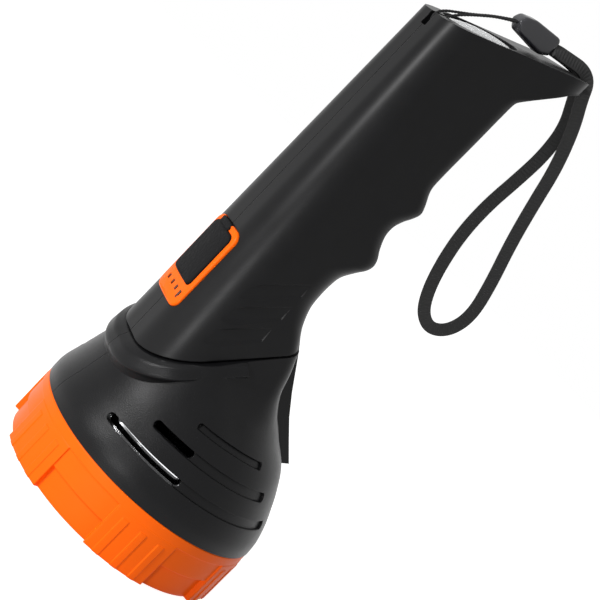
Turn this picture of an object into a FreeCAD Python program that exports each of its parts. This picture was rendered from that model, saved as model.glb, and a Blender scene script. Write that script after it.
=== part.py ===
import FreeCAD, Part
import math
import os

# A large hand torch that stands on its bezel. +Z runs from the bezel rim to the tail, the push
# button is on the -X side and the finger grip on the +X side. The housing is moulded in left (-Y)
# and right (+Y) halves. Lengths are millimetres and angles degrees.

# Screw-on bezel
BEZEL_RADIUS = 54.8
BEZEL_LENGTH = 24.6
BEZEL_LIP_RADIUS = 46.5
BEZEL_LIP = 3.0
BEZEL_GAP = 0.2
PAD_COUNT = 6
PAD_START = -1.5
PAD_SPAN = 30.0
PAD_LENGTH = 20.3
PAD_PROUD = 0.2
RIB_OFFSETS = (4.5, 13.5, 22.5)
RIB_SPAN = 3.2
RIB_PROUD = 0.4
RIB_LENGTH = 17.6
PANEL_DEPTH = 0.6
PANEL_STEP = 10.8
PANEL_STEP_DEPTH = 1.5

# Thread sleeve of the head, the clear lens, its seal and the reflector
SLEEVE_RADIUS = 50.4
SLEEVE_WALL = 2.4
THREAD_CLEARANCE = 0.3
LENS_THICKNESS = 2.5
SEAL_THICKNESS = 1.3
LENS_CLEARANCE = 0.5
REFLECTOR_WALL = 1.3
REFLECTOR_FLANGE = 1.2
REFLECTOR_RIM = 46.4
REFLECTOR_REAR_Z = 50.2
REFLECTOR_REAR_RADIUS = 7.3

# Bell of the head: height, shift of the centre towards the grip side, half length along X,
# half width along Y, and the half flat between the corner arcs
BELL = (
    (BEZEL_LENGTH + BEZEL_GAP, 0.0, BEZEL_RADIUS, BEZEL_RADIUS, 0.3),
    (30.0, -0.25, 54.4, 54.4, 0.3),
    (37.0, -0.45, 52.4, 52.4, 0.3),
    (43.0, -1.0, 50.2, 50.2, 0.3),
    (50.0, -2.0, 47.5, 47.3, 0.4),
    (58.4, -3.8, 43.5, 42.3, 0.8),
    (66.0, -8.0, 38.4, 36.3, 1.8),
    (74.0, -12.2, 34.0, 30.8, 3.2),
    (82.7, -16.2, 31.2, 27.0, 4.6),
    (92.0, -19.0, 30.0, 25.0, 5.6),
    (112.0, -24.0, 26.2, 23.6, 3.6),
)
HEAD_WALL = 2.8
SPINE_HALF_WIDTH = 7.5
SPINE_LINE = ((57.0, 47.4), (65.2, 38.7), (73.6, 30.0), (82.7, 22.0), (96.9, 10.8), (104.9, 3.9))
SPINE_ROOT = 14.0
SPINE_END_DROP = 7.0

# Open slots and blind grooves of the bell: start and end angle from -X towards the side, angle
# where the open part ends, lowest and highest height
SLOTS = (
    (32.0, 117.0, 70.4, 39.2, 43.8),
    (47.5, 110.0, 67.1, 49.9, 53.8),
    (59.6, 99.5, 61.8, 59.1, 61.7),
)
GROOVE_DEPTH = 1.2

# Collar round the front of the grip, and the sloping joint between head and grip
TOP_X = -48.9
SEAM_Z = 62.1
SEAM_ANGLE = 38.0
SEAM_GROOVE = 0.9
COLLAR_X = -51.5
COLLAR_Z = 52.8
COLLAR_ANGLE = 39.0
COLLAR_HALF_WIDTH = 29.3
COLLAR_CORNER = 26.0
COLLAR_LENGTH = 84.0
COLLAR_END = 40.0
COLLAR_BAND = ((-5.5, 3.0), (-2.6, 0.8), (-0.5, 0.2), (0.2, 0.0), (2.0, -0.4))
COLLAR_BULGE_X = -50.9
COLLAR_BULGE_Z = 58.8
COLLAR_BULGE_PROUD = 0.7
SPIGOT_LENGTH = 4.0
SPIGOT_WALL = 1.8
SPIGOT_GAP = 0.3

# Grip: straight top, sides that close towards the tail and a waved underside
GRIP_WALL = 2.6
GRIP_FRONT_Z = 75.0
GRIP_TAIL_Z = 222.0
GRIP_FRONT_HALF = 25.8
GRIP_TAIL_HALF = 16.4
GRIP_FRONT_CORNER = 19.6
GRIP_TAIL_CORNER = 10.5
GRIP_UNDER_FLAT = 1.5
GRIP_LINE = (
    (50.0, 14.0), (85.0, 14.0), (98.0, 9.6), (104.9, 4.8), (109.2, 1.6), (116.2, -1.6),
    (122.0, -2.4), (128.0, -2.3), (132.8, -1.35), (138.1, 2.35), (141.5, 5.25), (144.3, 6.3),
    (147.2, 5.5), (151.0, 2.85), (156.1, 0.45), (160.5, 0.25), (164.5, 1.75), (168.0, 4.05),
    (171.3, 5.4), (174.5, 4.25), (180.3, 1.1), (186.0, 0.6), (205.0, 0.95), (222.0, 1.15),
    (250.0, 1.3),
)

# Grip panels on each side: start and end along X of the lower edge, height of its two ends
PANELS = ((-38.0, 103.9, -18.6, 118.6), (-38.0, 92.6, -18.6, 107.3), (-38.0, 81.8, -18.6, 96.4))
PANEL_HEIGHT = 6.0
PANEL_RECESS = 1.0

# Slanted tail face with its lamp, and the hook beyond it
TAIL_ANGLE = 20.5
TAIL_LENS_X = -28.8
TAIL_LENS_Z = 235.1
TAIL_LENS_RADIUS = 15.3
TAIL_LENS_THICKNESS = 2.0
TAIL_LENS_CLEARANCE = 0.2
TAIL_CUP_RADIUS = 13.4
TAIL_CUP_WALL = 0.8
TAIL_CUP_DEPTH = 12.0
TAIL_CUP_REAR = 5.0
TAIL_BOARD = (9.0, 1.5)
TAIL_WALL = 3.4
HOOK_TIP_X = 24.3
HOOK_HALF_WIDTH = 16.35
HOOK_TOP = ((-2.0, 245.12), (11.0, 249.0), (21.5, 251.2))
HOOK_NOSE = (24.3, 248.5)
HOOK_UNDER = ((20.3, 245.2), (10.5, 241.6), (-14.0, 217.0))

# Lanyard notch over the tail corner, with a moulded post across it
NOTCH_HALF_WIDTH = 1.9
NOTCH = ((-51.0, 221.6), (-46.2, 221.6), (-42.6, 225.4), (-42.2, 232.5), (-51.0, 232.5))
POST_X = -46.2
POST_Z = 226.4
POST_RADIUS = 1.0

# Switch frame, push button and the switch below it
FRAME_LOW_Z = 82.3
FRAME_HIGH_Z = 120.0
FRAME_HALF_WIDTH = 12.6
FRAME_CORNER = 4.0
FRAME_TOP_X = -50.1
FRAME_CROWN = 70.0
FRAME_EDGE = 0.8
FRAME_SEAT_X = -47.2
FRAME_UNDER_X = -44.6
FRAME_SKIRT = 1.6
FRAME_FIT = 0.1
PAD_LOW_Z = 92.1
PAD_HIGH_Z = 115.7
PAD_HALF_WIDTH = 8.4
PAD_TOP_X = -50.7
PAD_CROWN = 60.0
PAD_CLEARANCE = 0.3
TONGUE_Y = (-1.0, 9.0)
BUTTON_FLANGE = 1.8
BUTTON_FLANGE_OVERLAP = 1.7
BUTTON_TRAVEL = 1.8
WINDOW_Y = (6.2, 1.5, -3.2, -7.9)
WINDOW_Z = 87.6
WINDOW_SIZE = (1.5, 3.6)
PLUNGER_RADIUS = 2.0
PLUNGER_LENGTH = 4.6
SWITCH_X = -40.4
SWITCH_HALF = 6.0
SWITCH_Z = 104.0
BOARD_X = -35.0
BOARD_THICKNESS = 1.6
BOARD_HALF_WIDTH = 12.0
BOARD_LOW_Z = 84.0
BOARD_HIGH_Z = 120.5

# Main light source and its heat sink on the head's bulkhead
BULKHEAD_Z = 57.0
BULKHEAD_THICKNESS = 2.4
LED_BOARD_RADIUS = 11.0
LED_BOARD_THICKNESS = 1.6
LED_SIZE = 5.0
LED_HEIGHT = 1.2
SINK_RADIUS = 18.5
POST_OF_SINK_RADIUS = 8.0
POST_OF_SINK_LENGTH = 13.0
SINK_SCREW_CIRCLE = 14.6
SINK_SCREW_RADIUS = 1.4

# Cells, cradle and strips
CELL_RADIUS = 9.2
CELL_LENGTH = 65.2
CELL_FRONT_Z = 125.0
CELL_UPPER_X = -35.8
CELL_LOWER_X = -16.4
STRIP_THICKNESS = 0.3
CRADLE_GAP = 0.2
CRADLE_WALL = 1.6
CRADLE_END = 2.0
CRADLE_DEPTH = 12.0
CRADLE_SIDE = 0.6
CRADLE_BEVEL = 4.0

# Charging inlet in the right side
SOCKET_X = -25.0
SOCKET_Z = 133.0
SOCKET_RADIUS = 4.2
SOCKET_BORE = 2.8
SOCKET_PIN = 0.9

# Housing screws, entered from the right: X and Z of each axis
HEAD_SCREWS = ((-40.0, 50.0), (27.0, 66.0))
GRIP_SCREWS = ((0.2, 144.0), (0.0, 171.0), (-24.0, 203.0))
SCREW_RADIUS = 1.45
SCREW_HEAD_RADIUS = 2.8
SCREW_HEAD_HEIGHT = 2.2
SCREW_HEAD_Y = 7.5
SCREW_REACH = 8.0
SCREW_GAP = 0.05
BOSS_RIGHT = 4.6
BOSS_LEFT = 3.4

# Wrist strap: a thin string loop, a moulded ferrule and a flat woven strap
STRING_DIAMETER = 1.3
STRAP_WIDTH = 5.5
FERRULE_HALF_WIDTH = 3.6
FERRULE = (
    (-21.2, 248.2), (-18.3, 244.9), (-4.6, 245.2), (-0.8, 247.6), (-0.8, 253.9), (-2.2, 255.3),
    (-15.0, 253.3), (-19.8, 251.3),
)
STRING_ROUTE = (
    (-20.4, -1.0, 247.4), (-27.2, -0.9, 243.9), (-33.8, -0.7, 239.0), (-39.6, -0.4, 234.2),
    (-43.8, -0.1, 229.6), (-44.35, 0.0, 225.3), (-46.2, 0.0, 224.2), (-48.05, 0.0, 225.3),
    (-48.0, 0.0, 228.3), (-45.4, 0.1, 232.2), (-41.2, 0.4, 236.3), (-35.0, 0.7, 241.1),
    (-28.0, 0.9, 245.9), (-20.4, 1.0, 249.7),
)
STRAP_ROUTE = (
    (-0.8, -2.9, 250.9), (9.0, -2.9, 253.2), (19.0, -2.9, 255.2), (27.6, -2.9, 253.2),
    (32.8, -3.0, 245.8), (37.2, -3.0, 235.6), (41.8, -2.4, 221.4), (47.3, -1.0, 205.0),
    (54.2, 0.0, 187.6), (62.2, 0.0, 169.6), (67.2, 0.0, 154.2), (64.2, 0.0, 143.4),
    (56.0, 0.0, 138.4), (47.2, 0.0, 141.4), (40.6, 0.0, 150.2), (35.6, 0.0, 162.6),
    (32.2, 0.0, 176.6), (31.8, 0.5, 191.8), (33.8, 1.5, 207.2), (34.4, 2.6, 221.8),
    (32.6, 3.0, 236.4), (30.4, 2.9, 247.2), (24.2, 2.9, 254.4), (12.6, 2.9, 254.3),
    (-0.8, 2.9, 250.9),
)
LEAD_DIAMETER = 1.4
LEAD_HOLE = (-11.2, 6.5)
LEAD_HOLE_RADIUS = 1.1
LEAD_HEAD_ROUTE = (
    (-33.2, 6.0, 86.0), (-24.0, 6.0, 84.5), (-18.5, 7.0, 76.0), (-14.5, 7.2, 68.5),
    (-11.4, 6.6, 61.5), (-11.2, 6.5, 53.5),
)
LEAD_TAIL_ROUTE = (
    (-33.0, -6.0, 118.0), (-25.0, -9.5, 121.0), (-21.0, -12.2, 130.0), (-21.0, -12.4, 157.0),
    (-20.6, -12.0, 184.0), (-18.6, -10.0, 199.0), (-19.2, -6.5, 211.0), (-22.2, -4.5, 221.0),
)

Y = FreeCAD.Vector(0, 1, 0)
Z = FreeCAD.Vector(0, 0, 1)
FAR = 200.0
STATION_STEP = 5.0
NECK_TOP = 120.0


def vec(x, y, z):
    """Point or direction."""
    return FreeCAD.Vector(x, y, z)


def box(x0, x1, y0, y1, z0, z1):
    """Block between two corners."""
    return Part.makeBox(x1 - x0, y1 - y0, z1 - z0, vec(x0, y0, z0))


def rod(radius, start, end):
    """Cylinder from one point to another."""
    axis = end - start
    return Part.makeCylinder(radius, axis.Length, start, axis)


def ring(outer, inner, z0, z1):
    """Flat ring about the main axis."""
    disc = Part.makeCylinder(outer, z1 - z0, vec(0, 0, z0))
    return disc.cut(Part.makeCylinder(inner, z1 - z0, vec(0, 0, z0)))


def join(shapes):
    """One solid from touching or crossing solids."""
    return shapes[0].multiFuse(shapes[1:]).removeSplitter()


def half_space(x, z, angle):
    """Everything above a plane that contains the Y direction and rises by angle along X."""
    block = box(-FAR, FAR, -FAR, FAR, 0.0, 2 * FAR)
    block.rotate(vec(0, 0, 0), Y, -angle)
    block.translate(vec(x, 0, z))
    return block


def slab(x, z, angle, low, high):
    """Layer from low to high, measured square to a rising plane."""
    block = box(-FAR, FAR, -FAR, FAR, low, high)
    block.rotate(vec(0, 0, 0), Y, -angle)
    block.translate(vec(x, 0, z))
    return block


def side_prism(points, half_width):
    """Prism across Y from an outline in X and Z, centred on the parting plane."""
    corners = [vec(x, -half_width, z) for x, z in points]
    face = Part.Face(Part.makePolygon(corners + corners[:1]))
    return face.extrude(vec(0, 2 * half_width, 0))


def rounded_wire(low, high, half_width, corner, place, high_corner=None):
    """Rounded rectangle along local X from low to high, set into the plane that place gives."""
    c = corner
    h = corner if high_corner is None else high_corner
    m = c * (1 - math.sqrt(0.5))
    n = h * (1 - math.sqrt(0.5))
    w = half_width
    marks = (
        (low + c, -w), (high - h, -w), (high - n, -w + n), (high, -w + h),
        (high, w - h), (high - n, w - n), (high - h, w),
        (low + c, w), (low + m, w - m), (low, w - c),
        (low, -w + c), (low + m, -w + m),
    )
    p = [place.multVec(vec(a, b, 0)) for a, b in marks]
    edges = []
    for start in (0, 3, 6, 9):
        after = p[(start + 1) % 12]
        edges.append(Part.LineSegment(p[start], after).toShape())
        edges.append(Part.Arc(after, p[(start + 2) % 12], p[(start + 3) % 12]).toShape())
    return Part.Wire(edges)


def level(z):
    """Horizontal plane at a height."""
    return FreeCAD.Placement(vec(0, 0, z), FreeCAD.Rotation())


def slope(x, z, angle):
    """Plane through a point of the side view that rises by angle along X."""
    return FreeCAD.Placement(vec(x, 0, z), FreeCAD.Rotation(Y, -angle))


def through(table, column, z):
    """Smooth value of one column of a table of heights, read at a height."""
    last = len(table) - 2
    i = max(k for k in range(last + 1) if k == 0 or table[k][0] <= z)
    z0, z1 = table[i][0], table[i + 1][0]
    v0, v1 = table[i][column], table[i + 1][column]
    before = table[max(i - 1, 0)]
    after = table[min(i + 2, last + 1)]
    slope0 = (v1 - before[column]) / (z1 - before[0])
    slope1 = (after[column] - v0) / (after[0] - z0)
    t = (z - z0) / (z1 - z0)
    bend = (z1 - z0) * ((t ** 3 - 2 * t ** 2 + t) * slope0 + (t ** 3 - t ** 2) * slope1)
    return v0 + (3 * t ** 2 - 2 * t ** 3) * (v1 - v0) + bend


def stations(low, high):
    """Evenly spaced heights for a smooth loft."""
    count = math.ceil((high - low) / STATION_STEP)
    return [low + i * (high - low) / count for i in range(count + 1)]


def bell_loft(inset):
    """Head body from the bezel to the grip, drawn in by inset."""
    wires = []
    for z in stations(BELL[0][0], BELL[-1][0]):
        centre, half_x, half_y, flat = [through(BELL, column, z) for column in (1, 2, 3, 4)]
        corner = half_y - flat - inset
        wires.append(rounded_wire(
            centre - half_x + inset, centre + half_x - inset, half_y - inset, corner, level(z)))
    return Part.makeLoft(wires, True, False)


def taper(front, tail, z):
    """Size that changes evenly from the front of the grip to its tail."""
    share = (min(z, GRIP_TAIL_Z) - GRIP_FRONT_Z) / (GRIP_TAIL_Z - GRIP_FRONT_Z)
    return front + share * (tail - front)


def grip_half_width(z):
    """Half width of the grip at a height."""
    return taper(GRIP_FRONT_HALF, GRIP_TAIL_HALF, z)


def grip_loft(inset, low=GRIP_LINE[0][0], high=GRIP_LINE[-1][0]):
    """Grip body between two heights, drawn in by inset."""
    wires = []
    for z in stations(low, high):
        under = through(GRIP_LINE, 1, z)
        corner = taper(GRIP_FRONT_CORNER, GRIP_TAIL_CORNER, z)
        half = grip_half_width(z)
        wires.append(rounded_wire(TOP_X + inset, under - inset, half - inset, corner - inset,
                                  level(z), half - GRIP_UNDER_FLAT - inset))
    return Part.makeLoft(wires, True, False)


def tail_z(x):
    """Height of the slanted tail face at a place along X."""
    return TAIL_LENS_Z + math.tan(math.radians(TAIL_ANGLE)) * (x - TAIL_LENS_X)


def tail_point(depth):
    """Point on the tail lamp's axis, below the tail face by depth."""
    t = math.radians(TAIL_ANGLE)
    return vec(TAIL_LENS_X + depth * math.sin(t), 0, TAIL_LENS_Z - depth * math.cos(t))


def tail_disc(radius, top, bottom):
    """Cylinder on the tail lamp's axis between two depths below the tail face."""
    return rod(radius, tail_point(bottom), tail_point(top))


def tail_outline():
    """Side view of everything below the tail face, with the hook's nose and underside."""
    start = vec(TOP_X - 5, -FAR, tail_z(TOP_X - 5))
    top = [vec(x, -FAR, z) for x, z in HOOK_TOP]
    nose = vec(HOOK_NOSE[0], -FAR, HOOK_NOSE[1])
    under = [vec(x, -FAR, z) for x, z in HOOK_UNDER]
    low_front = vec(under[-1].x, -FAR, 0)
    low_back = vec(TOP_X - 5, -FAR, 0)
    edges = [
        Part.LineSegment(start, top[0]).toShape(),
        Part.Arc(top[0], top[1], top[2]).toShape(),
        Part.Arc(top[2], nose, under[0]).toShape(),
        Part.LineSegment(under[0], under[1]).toShape(),
        Part.LineSegment(under[1], under[2]).toShape(),
        Part.LineSegment(under[2], low_front).toShape(),
        Part.LineSegment(low_front, low_back).toShape(),
        Part.LineSegment(low_back, start).toShape(),
    ]
    return Part.Face(Part.Wire(edges)).extrude(vec(0, 2 * FAR, 0))


def below_tail_face():
    """Everything that the curved top of the tail leaves, whatever lies under it."""
    start = vec(TOP_X - 5, -FAR, tail_z(TOP_X - 5))
    top = [vec(x, -FAR, z) for x, z in HOOK_TOP]
    end = vec(top[2].x + FAR, -FAR, top[2].z)
    edges = [
        Part.LineSegment(start, top[0]).toShape(),
        Part.Arc(top[0], top[1], top[2]).toShape(),
        Part.LineSegment(top[2], end).toShape(),
        Part.LineSegment(end, vec(end.x, -FAR, 0)).toShape(),
        Part.LineSegment(vec(end.x, -FAR, 0), vec(start.x, -FAR, 0)).toShape(),
        Part.LineSegment(vec(start.x, -FAR, 0), start).toShape(),
    ]
    return Part.Face(Part.Wire(edges)).extrude(vec(0, 2 * FAR, 0))


def hook():
    """Hook plate with its round end, seen from the tail, cut to the side view."""
    centre = HOOK_TIP_X - HOOK_HALF_WIDTH
    back = HOOK_UNDER[-1][0]
    low = HOOK_UNDER[-1][1]
    height = HOOK_TOP[-1][1] - low + 5
    plate = box(back, centre, -HOOK_HALF_WIDTH, HOOK_HALF_WIDTH, low, low + height)
    end = Part.makeCylinder(HOOK_HALF_WIDTH, height, vec(centre, 0, low))
    return join([plate, end]).common(tail_outline())


def collar():
    """Rim that stands proud of the bell and closes to the grip at the sloping joint."""
    rows = []
    for height, shrink in COLLAR_BAND:
        place = slope(COLLAR_X, COLLAR_Z, COLLAR_ANGLE)
        place.Base = place.Base + place.Rotation.multVec(vec(0, 0, height))
        lean = 0.3 + 0.35 * max(height, 0.0)
        rows.append(rounded_wire(lean, COLLAR_LENGTH, COLLAR_HALF_WIDTH - shrink,
                                 COLLAR_CORNER - max(shrink, 0.0), place))
    middle = slope(COLLAR_BULGE_X, COLLAR_BULGE_Z, (COLLAR_ANGLE + SEAM_ANGLE) / 2)
    half = (COLLAR_HALF_WIDTH + GRIP_FRONT_HALF) / 2 + COLLAR_BULGE_PROUD
    rows.append(rounded_wire(0.0, COLLAR_LENGTH - 6, half, COLLAR_CORNER - 2, middle))
    seam = slope(TOP_X, SEAM_Z, SEAM_ANGLE)
    rows.append(rounded_wire(
        0.0, COLLAR_LENGTH - 10, GRIP_FRONT_HALF + 0.2, GRIP_FRONT_CORNER + 1.0, seam))
    keep = box(-FAR, COLLAR_END, -FAR, FAR, -FAR, FAR)
    keep.Placement = seam
    return Part.makeLoft(rows, True, True).common(keep)


def spine():
    """Keel on the grip side that runs from the bell into the underside of the grip."""
    line = [(x, z) for z, x in SPINE_LINE]
    inner = [(line[-1][0] - SPINE_ROOT, line[-1][1]), (line[0][0] - SPINE_ROOT, line[0][1] - SPINE_END_DROP)]
    return side_prism(line + inner, SPINE_HALF_WIDTH)


def head_outer():
    """Outside of the head up to the sloping joint."""
    body = join([bell_loft(0), collar(), spine()])
    return body.cut(half_space(TOP_X, SEAM_Z, SEAM_ANGLE))


def slot_tool(start, end, low, high, inner, outer):
    """Curved cutter with round ends between two angles and two heights, on the left side."""
    radius = (high - low) / 2
    middle = (high + low) / 2
    sweep = end - start
    profile = Part.makePolygon([
        vec(-inner, 0, low), vec(-outer, 0, low), vec(-outer, 0, high), vec(-inner, 0, high),
        vec(-inner, 0, low)])
    body = Part.Face(profile).revolve(vec(0, 0, 0), Z, sweep)
    body.rotate(vec(0, 0, 0), Z, start)
    ends = []
    for angle in (start, end):
        turn = math.radians(180 + angle)
        way = vec(math.cos(turn), math.sin(turn), 0)
        ends.append(rod(radius, way * inner + vec(0, 0, middle), way * outer + vec(0, 0, middle)))
    return join([body] + ends)


def mirrored(shape):
    """The shape and its mirror image on the other side of the parting plane."""
    return [shape, shape.mirror(vec(0, 0, 0), Y)]


def slot_cutters():
    """Open slots and blind grooves of both sides of the bell."""
    groove_floor = bell_loft(GROOVE_DEPTH)
    tools = []
    for start, end, open_end, low, high in SLOTS:
        inset = math.degrees((high - low) / 2 / BEZEL_RADIUS)
        slot = slot_tool(start + inset, open_end - inset, low, high, 26.0, 62.0)
        groove = slot_tool(start + inset, end - inset, low, high, 26.0, 62.0).cut(groove_floor)
        tools += mirrored(slot) + mirrored(groove)
    return tools


def screw_bosses(places, envelope):
    """Screw bosses that reach from wall to wall, cut to the outside of the housing."""
    solids = []
    for x, z in places:
        right = rod(BOSS_RIGHT, vec(x, 0, z), vec(x, BEZEL_RADIUS, z))
        left = rod(BOSS_LEFT, vec(x, -BEZEL_RADIUS, z), vec(x, 0, z))
        solids += [right.common(envelope), left.common(envelope)]
    return solids


def drill_screws(shape, places):
    """Screw holes: a counterbore and clearance hole in the right half, a blind hole in the left."""
    for x, z in places:
        shape = shape.cut(rod(
            SCREW_HEAD_RADIUS + 0.3, vec(x, SCREW_HEAD_Y, z), vec(x, BEZEL_RADIUS + 5, z)))
        shape = shape.cut(rod(
            SCREW_RADIUS + SCREW_GAP, vec(x, -SCREW_REACH - 0.5, z), vec(x, SCREW_HEAD_Y, z)))
    return shape


def split(shape):
    """Left and right half at the parting plane."""
    left = shape.common(box(-FAR, FAR, -FAR, 0, -FAR, 2 * FAR))
    right = shape.common(box(-FAR, FAR, 0, FAR, -FAR, 2 * FAR))
    return left, right


def seam_layer(low, high):
    """Layer measured square to the joint between head and grip."""
    return slab(TOP_X, SEAM_Z, SEAM_ANGLE, low, high)


def head_shells():
    """Bell, collar, spine, thread sleeve, bulkhead and bosses, in two halves."""
    outer = head_outer()
    sleeve_front = lens_top() + SEAL_THICKNESS + REFLECTOR_FLANGE
    sleeve = ring(SLEEVE_RADIUS, SLEEVE_RADIUS - SLEEVE_WALL, sleeve_front, BELL[1][0])
    bore = Part.makeCylinder(SLEEVE_RADIUS - SLEEVE_WALL, 25, vec(0, 0, sleeve_front))
    hollow = bell_loft(HEAD_WALL).cut(box(-FAR, FAR, -FAR, FAR, 0, BELL[0][0] + HEAD_WALL))
    socket = neck_loft(GRIP_WALL).common(seam_layer(-SPIGOT_LENGTH - 6, 1))
    shell = outer.cut(hollow).cut(bore).cut(socket)
    deck = Part.makeCylinder(BEZEL_RADIUS, BULKHEAD_THICKNESS, vec(0, 0, BULKHEAD_Z))
    deck = deck.common(bell_loft(HEAD_WALL / 2))
    deck = deck.cut(neck_loft(GRIP_WALL).common(seam_layer(-SPIGOT_LENGTH - 1, 50)))
    deck = deck.cut(Part.makeCylinder(POST_OF_SINK_RADIUS + 0.3, 20, vec(0, 0, BULKHEAD_Z - 5)))
    deck = deck.cut(lead_passage())
    envelope = outer.cut(socket)
    shell = join([shell, sleeve, deck] + screw_bosses(HEAD_SCREWS, envelope))
    for tool in slot_cutters():
        shell = shell.cut(tool)
    shell = drill_screws(shell, HEAD_SCREWS)
    for place in sink_screw_places():
        shell = shell.cut(rod(SINK_SCREW_RADIUS + SCREW_GAP, place, place + vec(0, 0, 20)))
    return split(shell)


def grip_outer():
    """Outside of the grip with its hook, from the sloping joint to the tail face."""
    body = grip_loft(0).common(below_tail_face())
    body = join([body, hook()])
    return body.common(half_space(TOP_X, SEAM_Z, SEAM_ANGLE).translated(seam_shift()))


def seam_shift():
    """Width of the groove between head and grip, square to the joint."""
    t = math.radians(SEAM_ANGLE)
    return vec(-math.sin(t), 0, math.cos(t)) * SEAM_GROOVE


def panel_cutters():
    """Sloping recesses on both sides of the grip."""
    tools = []
    for x0, z0, x1, z1 in PANELS:
        floor = grip_half_width((z0 + z1) / 2 + PANEL_HEIGHT / 2) - PANEL_RECESS
        corners = [(x0, z0), (x1, z1), (x1, z1 + PANEL_HEIGHT), (x0, z0 + PANEL_HEIGHT)]
        points = [vec(x, -floor, z) for x, z in corners]
        face = Part.Face(Part.makePolygon(points + points[:1]))
        tools += mirrored(face.extrude(vec(0, -10, 0)))
    return tools


def frame_block(x0, x1, grow):
    """Rounded block over the switch frame's outline, grown by a margin."""
    low = FRAME_LOW_Z - grow
    high = FRAME_HIGH_Z + grow
    place = FreeCAD.Placement(vec(x0, 0, 0), FreeCAD.Rotation(Y, -90))
    wire = rounded_wire(low, high, FRAME_HALF_WIDTH + grow, FRAME_CORNER + grow, place)
    return Part.Face(wire).extrude(vec(x1 - x0, 0, 0))


def neck_loft(inset):
    """Front end of the grip body, drawn in by inset."""
    return grip_loft(inset, GRIP_LINE[0][0], NECK_TOP)


def spigot():
    """Lip of the grip that enters the head's collar."""
    core = neck_loft(GRIP_WALL + SPIGOT_GAP + SPIGOT_WALL)
    lip = neck_loft(GRIP_WALL + SPIGOT_GAP).common(seam_layer(-SPIGOT_LENGTH, 6))
    root = neck_loft(GRIP_WALL / 2).common(seam_layer(SEAM_GROOVE + 1.2, 6))
    return join([lip, root]).cut(core)


def grip_hollow():
    """Inside of the grip, closed below the tail face and round the lanyard notch."""
    hollow = grip_loft(GRIP_WALL)
    hollow = hollow.cut(half_space(TAIL_LENS_X, TAIL_LENS_Z, TAIL_ANGLE).translated(
        tail_point(TAIL_WALL) - tail_point(0)))
    return hollow.cut(box(TOP_X, POST_X + 7, -NOTCH_HALF_WIDTH - 2, NOTCH_HALF_WIDTH + 2, 217, FAR * 2))


def tail_cutters():
    """Seat and bore of the tail lamp."""
    seat = tail_disc(TAIL_LENS_RADIUS + TAIL_LENS_CLEARANCE, -5, TAIL_LENS_THICKNESS + TAIL_CUP_WALL)
    bore = tail_disc(TAIL_CUP_RADIUS + 0.3, -5, TAIL_WALL + 4)
    return [seat, bore]


def grip_ribs():
    """Ledges under the control board and ribs behind the cell cradle, inside the grip."""
    wall = grip_loft(GRIP_WALL / 2)
    face = BOARD_X + BOARD_THICKNESS + 0.1
    ribs = []
    for z in (BOARD_LOW_Z + 3, BOARD_HIGH_Z - 5):
        ledge = box(face, face + 2.2, -FAR, -BOARD_HALF_WIDTH + 1.5, z, z + 2)
        ribs += [part.common(wall) for part in mirrored(ledge)]
    for z in (145.0, 180.0):
        rib = box(CELL_UPPER_X - 6, CELL_LOWER_X + 7, CRADLE_DEPTH + CRADLE_GAP, FAR, z, z + 2)
        ribs.append(rib.common(wall))
    return ribs


def grip_shells():
    """Grip with hook, switch seat, panels, notch and bosses, in two halves."""
    outer = grip_outer()
    shell = outer.cut(grip_hollow())
    shell = join([shell, spigot()] + grip_ribs() + screw_bosses(GRIP_SCREWS, outer))
    opening = frame_block(FRAME_SEAT_X - 10, FRAME_SEAT_X, FRAME_FIT)
    window = frame_block(FRAME_SEAT_X - 10, FRAME_SEAT_X + 12, FRAME_FIT - FRAME_SKIRT)
    tongue = button_opening(FRAME_FIT)[1].common(
        frame_block(FRAME_SEAT_X - 10, FRAME_SEAT_X + 12, FRAME_FIT))
    notch = side_prism(NOTCH, NOTCH_HALF_WIDTH)
    inlet = rod(SOCKET_RADIUS + 0.2, vec(SOCKET_X, CRADLE_DEPTH, SOCKET_Z), vec(SOCKET_X, 40, SOCKET_Z))
    for tool in [opening, window, tongue, notch, inlet] + tail_cutters() + panel_cutters():
        shell = shell.cut(tool)
    shell = drill_screws(shell, GRIP_SCREWS)
    left, right = split(shell)
    post = rod(POST_RADIUS, vec(POST_X, -NOTCH_HALF_WIDTH, POST_Z), vec(POST_X, NOTCH_HALF_WIDTH, POST_Z))
    return join([left, post]), right


def lens_top():
    """Height of the inner face of the front lens."""
    return BEZEL_LIP + LENS_THICKNESS


def bezel_sector(start, sweep, radius, z0, z1):
    """Wedge of a disc between two angles, counted from -X towards the left side."""
    wedge = Part.makeCylinder(radius, z1 - z0, vec(0, 0, z0), Z, sweep)
    wedge.rotate(vec(0, 0, 0), Z, 180 + start)
    return wedge


def bezel_ring():
    """Screw ring with six ribbed grip pads and stepped panels between them."""
    panel = BEZEL_RADIUS - PANEL_DEPTH
    foot = BEZEL_RADIUS - PANEL_DEPTH - PANEL_STEP_DEPTH
    solids = [
        Part.makeCylinder(foot, PANEL_STEP, vec(0, 0, 0)),
        Part.makeCylinder(panel, PAD_LENGTH - PANEL_STEP, vec(0, 0, PANEL_STEP)),
        Part.makeCylinder(BEZEL_RADIUS, BEZEL_LENGTH - PAD_LENGTH, vec(0, 0, PAD_LENGTH)),
    ]
    pitch = 360.0 / PAD_COUNT
    pad = BEZEL_RADIUS + PAD_PROUD
    for index in range(PAD_COUNT):
        start = PAD_START + index * pitch
        solids.append(bezel_sector(start, PAD_SPAN, pad, 0, PAD_LENGTH))
        for offset in RIB_OFFSETS:
            solids.append(bezel_sector(start + offset, RIB_SPAN, pad + RIB_PROUD, 0, RIB_LENGTH))
    body = join(solids)
    bore = Part.makeCylinder(SLEEVE_RADIUS + THREAD_CLEARANCE, BEZEL_LENGTH, vec(0, 0, BEZEL_LIP))
    mouth = Part.makeCylinder(BEZEL_LIP_RADIUS, BEZEL_LENGTH, vec(0, 0, -1))
    return body.cut(bore).cut(mouth)


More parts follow.
